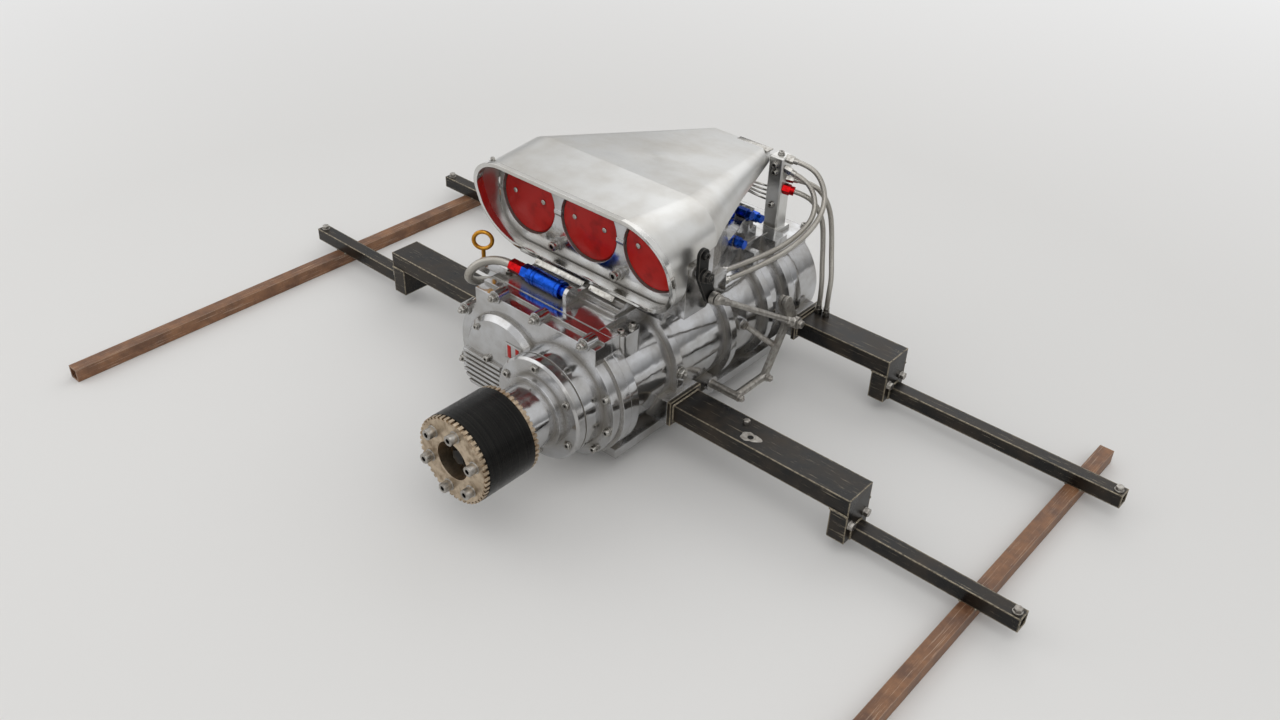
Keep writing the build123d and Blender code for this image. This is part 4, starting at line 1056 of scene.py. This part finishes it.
# %% Plates
plate_width, plate_thickness, rivet_inset, rivet_side = 0.0126, 0.0012, 0.0028, 0.0038
plates = bmesh.new()
for middle, length in ((41.5, 0.043), (-34, 0.088)):
    tilt = Matrix.Translation(at(middle, 53.6, 111)) @ Matrix.Rotation(math.radians(45), 4, "X")
    box(plates, tilt, length, plate_width, plate_thickness)
    for x in (rivet_inset - length / 2, length / 2 - rivet_inset):
        for y in (-rivet_side, rivet_side):
            rivet = tilt @ Matrix.Translation((x, y, plate_thickness))
            disc(plates, rivet, 0.0013, 0.0007, 12, 0.0003)
make_piece("name_plates_blank", plates, [nickel])

scoop_parts = bmesh.new()
place = seat("scoop", at(-130, 30, 250), UP)
washer(scoop_parts, facing(place, UP), 0.0050)
disc(scoop_parts, facing(place, UP), 0.0030, 0.0060, 20, 0.0007)
place = Vector((0.030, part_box("scoop")[1].y - 0.006, axis_z + 0.2062))
box(scoop_parts, Matrix.Translation(place), 0.058, 0.014, 0.0022, 0.0005)
make_piece("scoop_hardware", scoop_parts, [nickel])

badge, bars = bmesh.new(), bmesh.new()
place = seat("front_cover", at(-25, -60, 31), FRONT)
box(badge, facing(place, FRONT), 0.030, 0.024, plate_thickness)
make_piece("badge_plate", badge, [polished])
for x in (-0.0075, 0.0075):
    bar = place + Vector((x, -plate_thickness, 0))
    box(bars, facing(bar, FRONT), 0.0062, 0.019, 0.0004, 0.0001)
make_piece("badge_bars", bars, [red_enamel])

# %% [markdown]
# ## Bands on the filter
#
# The filter is turned from bar. The lathe leaves three raised bands on it, two by its inlet
# and one by its outlet, so each band is a short disc with a fine chamfer.

# %% Filter bands
bands = bmesh.new()
for side in (-50, -44, -6):
    disc(bands, facing(at(side, 22, 110), RIGHT), 0.0127, 0.0022, 40, 0.0005)
make_piece("filter_bands", bands, [blue_skin])

# %% [markdown]
# ## Floor, lamps and surroundings
#
# A plain pale floor and three large soft lamps show the metal without colouring it. Mirrors
# need something to mirror, so the surroundings are pale where the camera, a reflection or
# glass sees them, and dimmer where they only light the object. Far from the object the floor
# goes over to that same pale tone, so that no horizon shows. A mirror alone sees darker walls
# round the horizon, because polished metal draws its own edges only where the room changes.

# %% Floor
background_level, lighting_level = 0.85, 0.58
floor_half, floor_drop = 30, 0.0005
fade_start, fade_end = 1.1, 2.8


def looked_at(tree):
    """1 for rays from the camera, a reflection or glass, and 0 for rays that carry light."""
    path = add_node(tree, "LightPath").outputs
    seen = maths(tree, "MAXIMUM", path["Is Camera Ray"], path["Is Glossy Ray"])
    return maths(tree, "MAXIMUM", seen, path["Is Transmission Ray"])


floor_mesh = bmesh.new()
bmesh.ops.create_grid(floor_mesh, x_segments=1, y_segments=1, size=floor_half)
bmesh.ops.translate(floor_mesh, verts=floor_mesh.verts, vec=-floor_drop * UP)
floor_data = bpy.data.meshes.new("floor")
floor_mesh.to_mesh(floor_data)
floor_mesh.free()
floor = bpy.data.objects.new("floor", floor_data)
scene.collection.objects.link(floor)
floor_paint, tree, shader, place = start_material("matt_pale_floor")
set_inputs(tree, shader, {"Base Color": colour("#e4e3e1"), "Roughness": 0.9})
far = spread(tree, vector_maths(tree, "LENGTH", place), fade_start, fade_end, 0, 1)
far = maths(tree, "MULTIPLY", far, looked_at(tree))
backdrop = add_node(tree, "Emission", inputs={"Strength": background_level}).outputs[0]
surface = add_node(tree, "MixShader", inputs={0: far, 1: shader.outputs[0], 2: backdrop})
set_inputs(tree, tree.nodes["Material Output"], {"Surface": surface.outputs[0]})
floor_data.materials.append(floor_paint)
floor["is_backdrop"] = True
print("floor fades from", fade_start, "to", fade_end, "m")

# %% Surroundings and lamps
wall_shade, wall_top, wall_end = 0.54, 0.08, 0.38  # the walls fade upwards from top to end
world = bpy.data.worlds.new("studio")
scene.world = world
world.use_nodes = True
tree = world.node_tree
towards = add_node(tree, "TexCoord").outputs["Generated"]
climb = add_node(tree, "SeparateXYZ", inputs={0: towards}).outputs["Z"]
mirrored = add_node(tree, "LightPath").outputs["Is Glossy Ray"]
walls = maths(tree, "MULTIPLY", mirrored, spread(tree, climb, wall_top, wall_end, wall_shade, 0))
pale = spread(tree, looked_at(tree), 0, 1, lighting_level, background_level)
set_inputs(tree, tree.nodes["Background"], {
    "Color": colour("#ffffff"),
    "Strength": maths(tree, "SUBTRACT", pale, walls),
})


def lamp(name, place, target, size, power):
    """A square soft lamp, size metres wide. It shines down its own Z, so +Z faces away."""
    data = bpy.data.lights.new(name, "AREA")
    data.size = size
    data.energy = power
    light = bpy.data.objects.new(name, data)
    light.matrix_world = facing(Vector(place), Vector(place) - Vector(target))
    scene.collection.objects.link(light)
    print(name, "lamp of", power, "W")


lamp("key", (1.3, -1.0, 2.4), (0, 0, 0.15), 3.0, 24)
lamp("fill", (-2.0, -1.2, 1.5), (0, 0, 0.15), 2.4, 14)
lamp("rim", (-0.4, 2.2, 1.8), (0, 0, 0.2), 2.4, 11)

# %% [markdown]
# ## Close the scene
#
# Standard view keeps a colour near what was written. The box round everything that renders,
# the floor left out, is printed in millimetres.

# %% Finish
scene.view_settings.view_transform = "Standard"
low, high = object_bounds()
print("visual box in mm:", [round(1000 * v) for v in high - low])
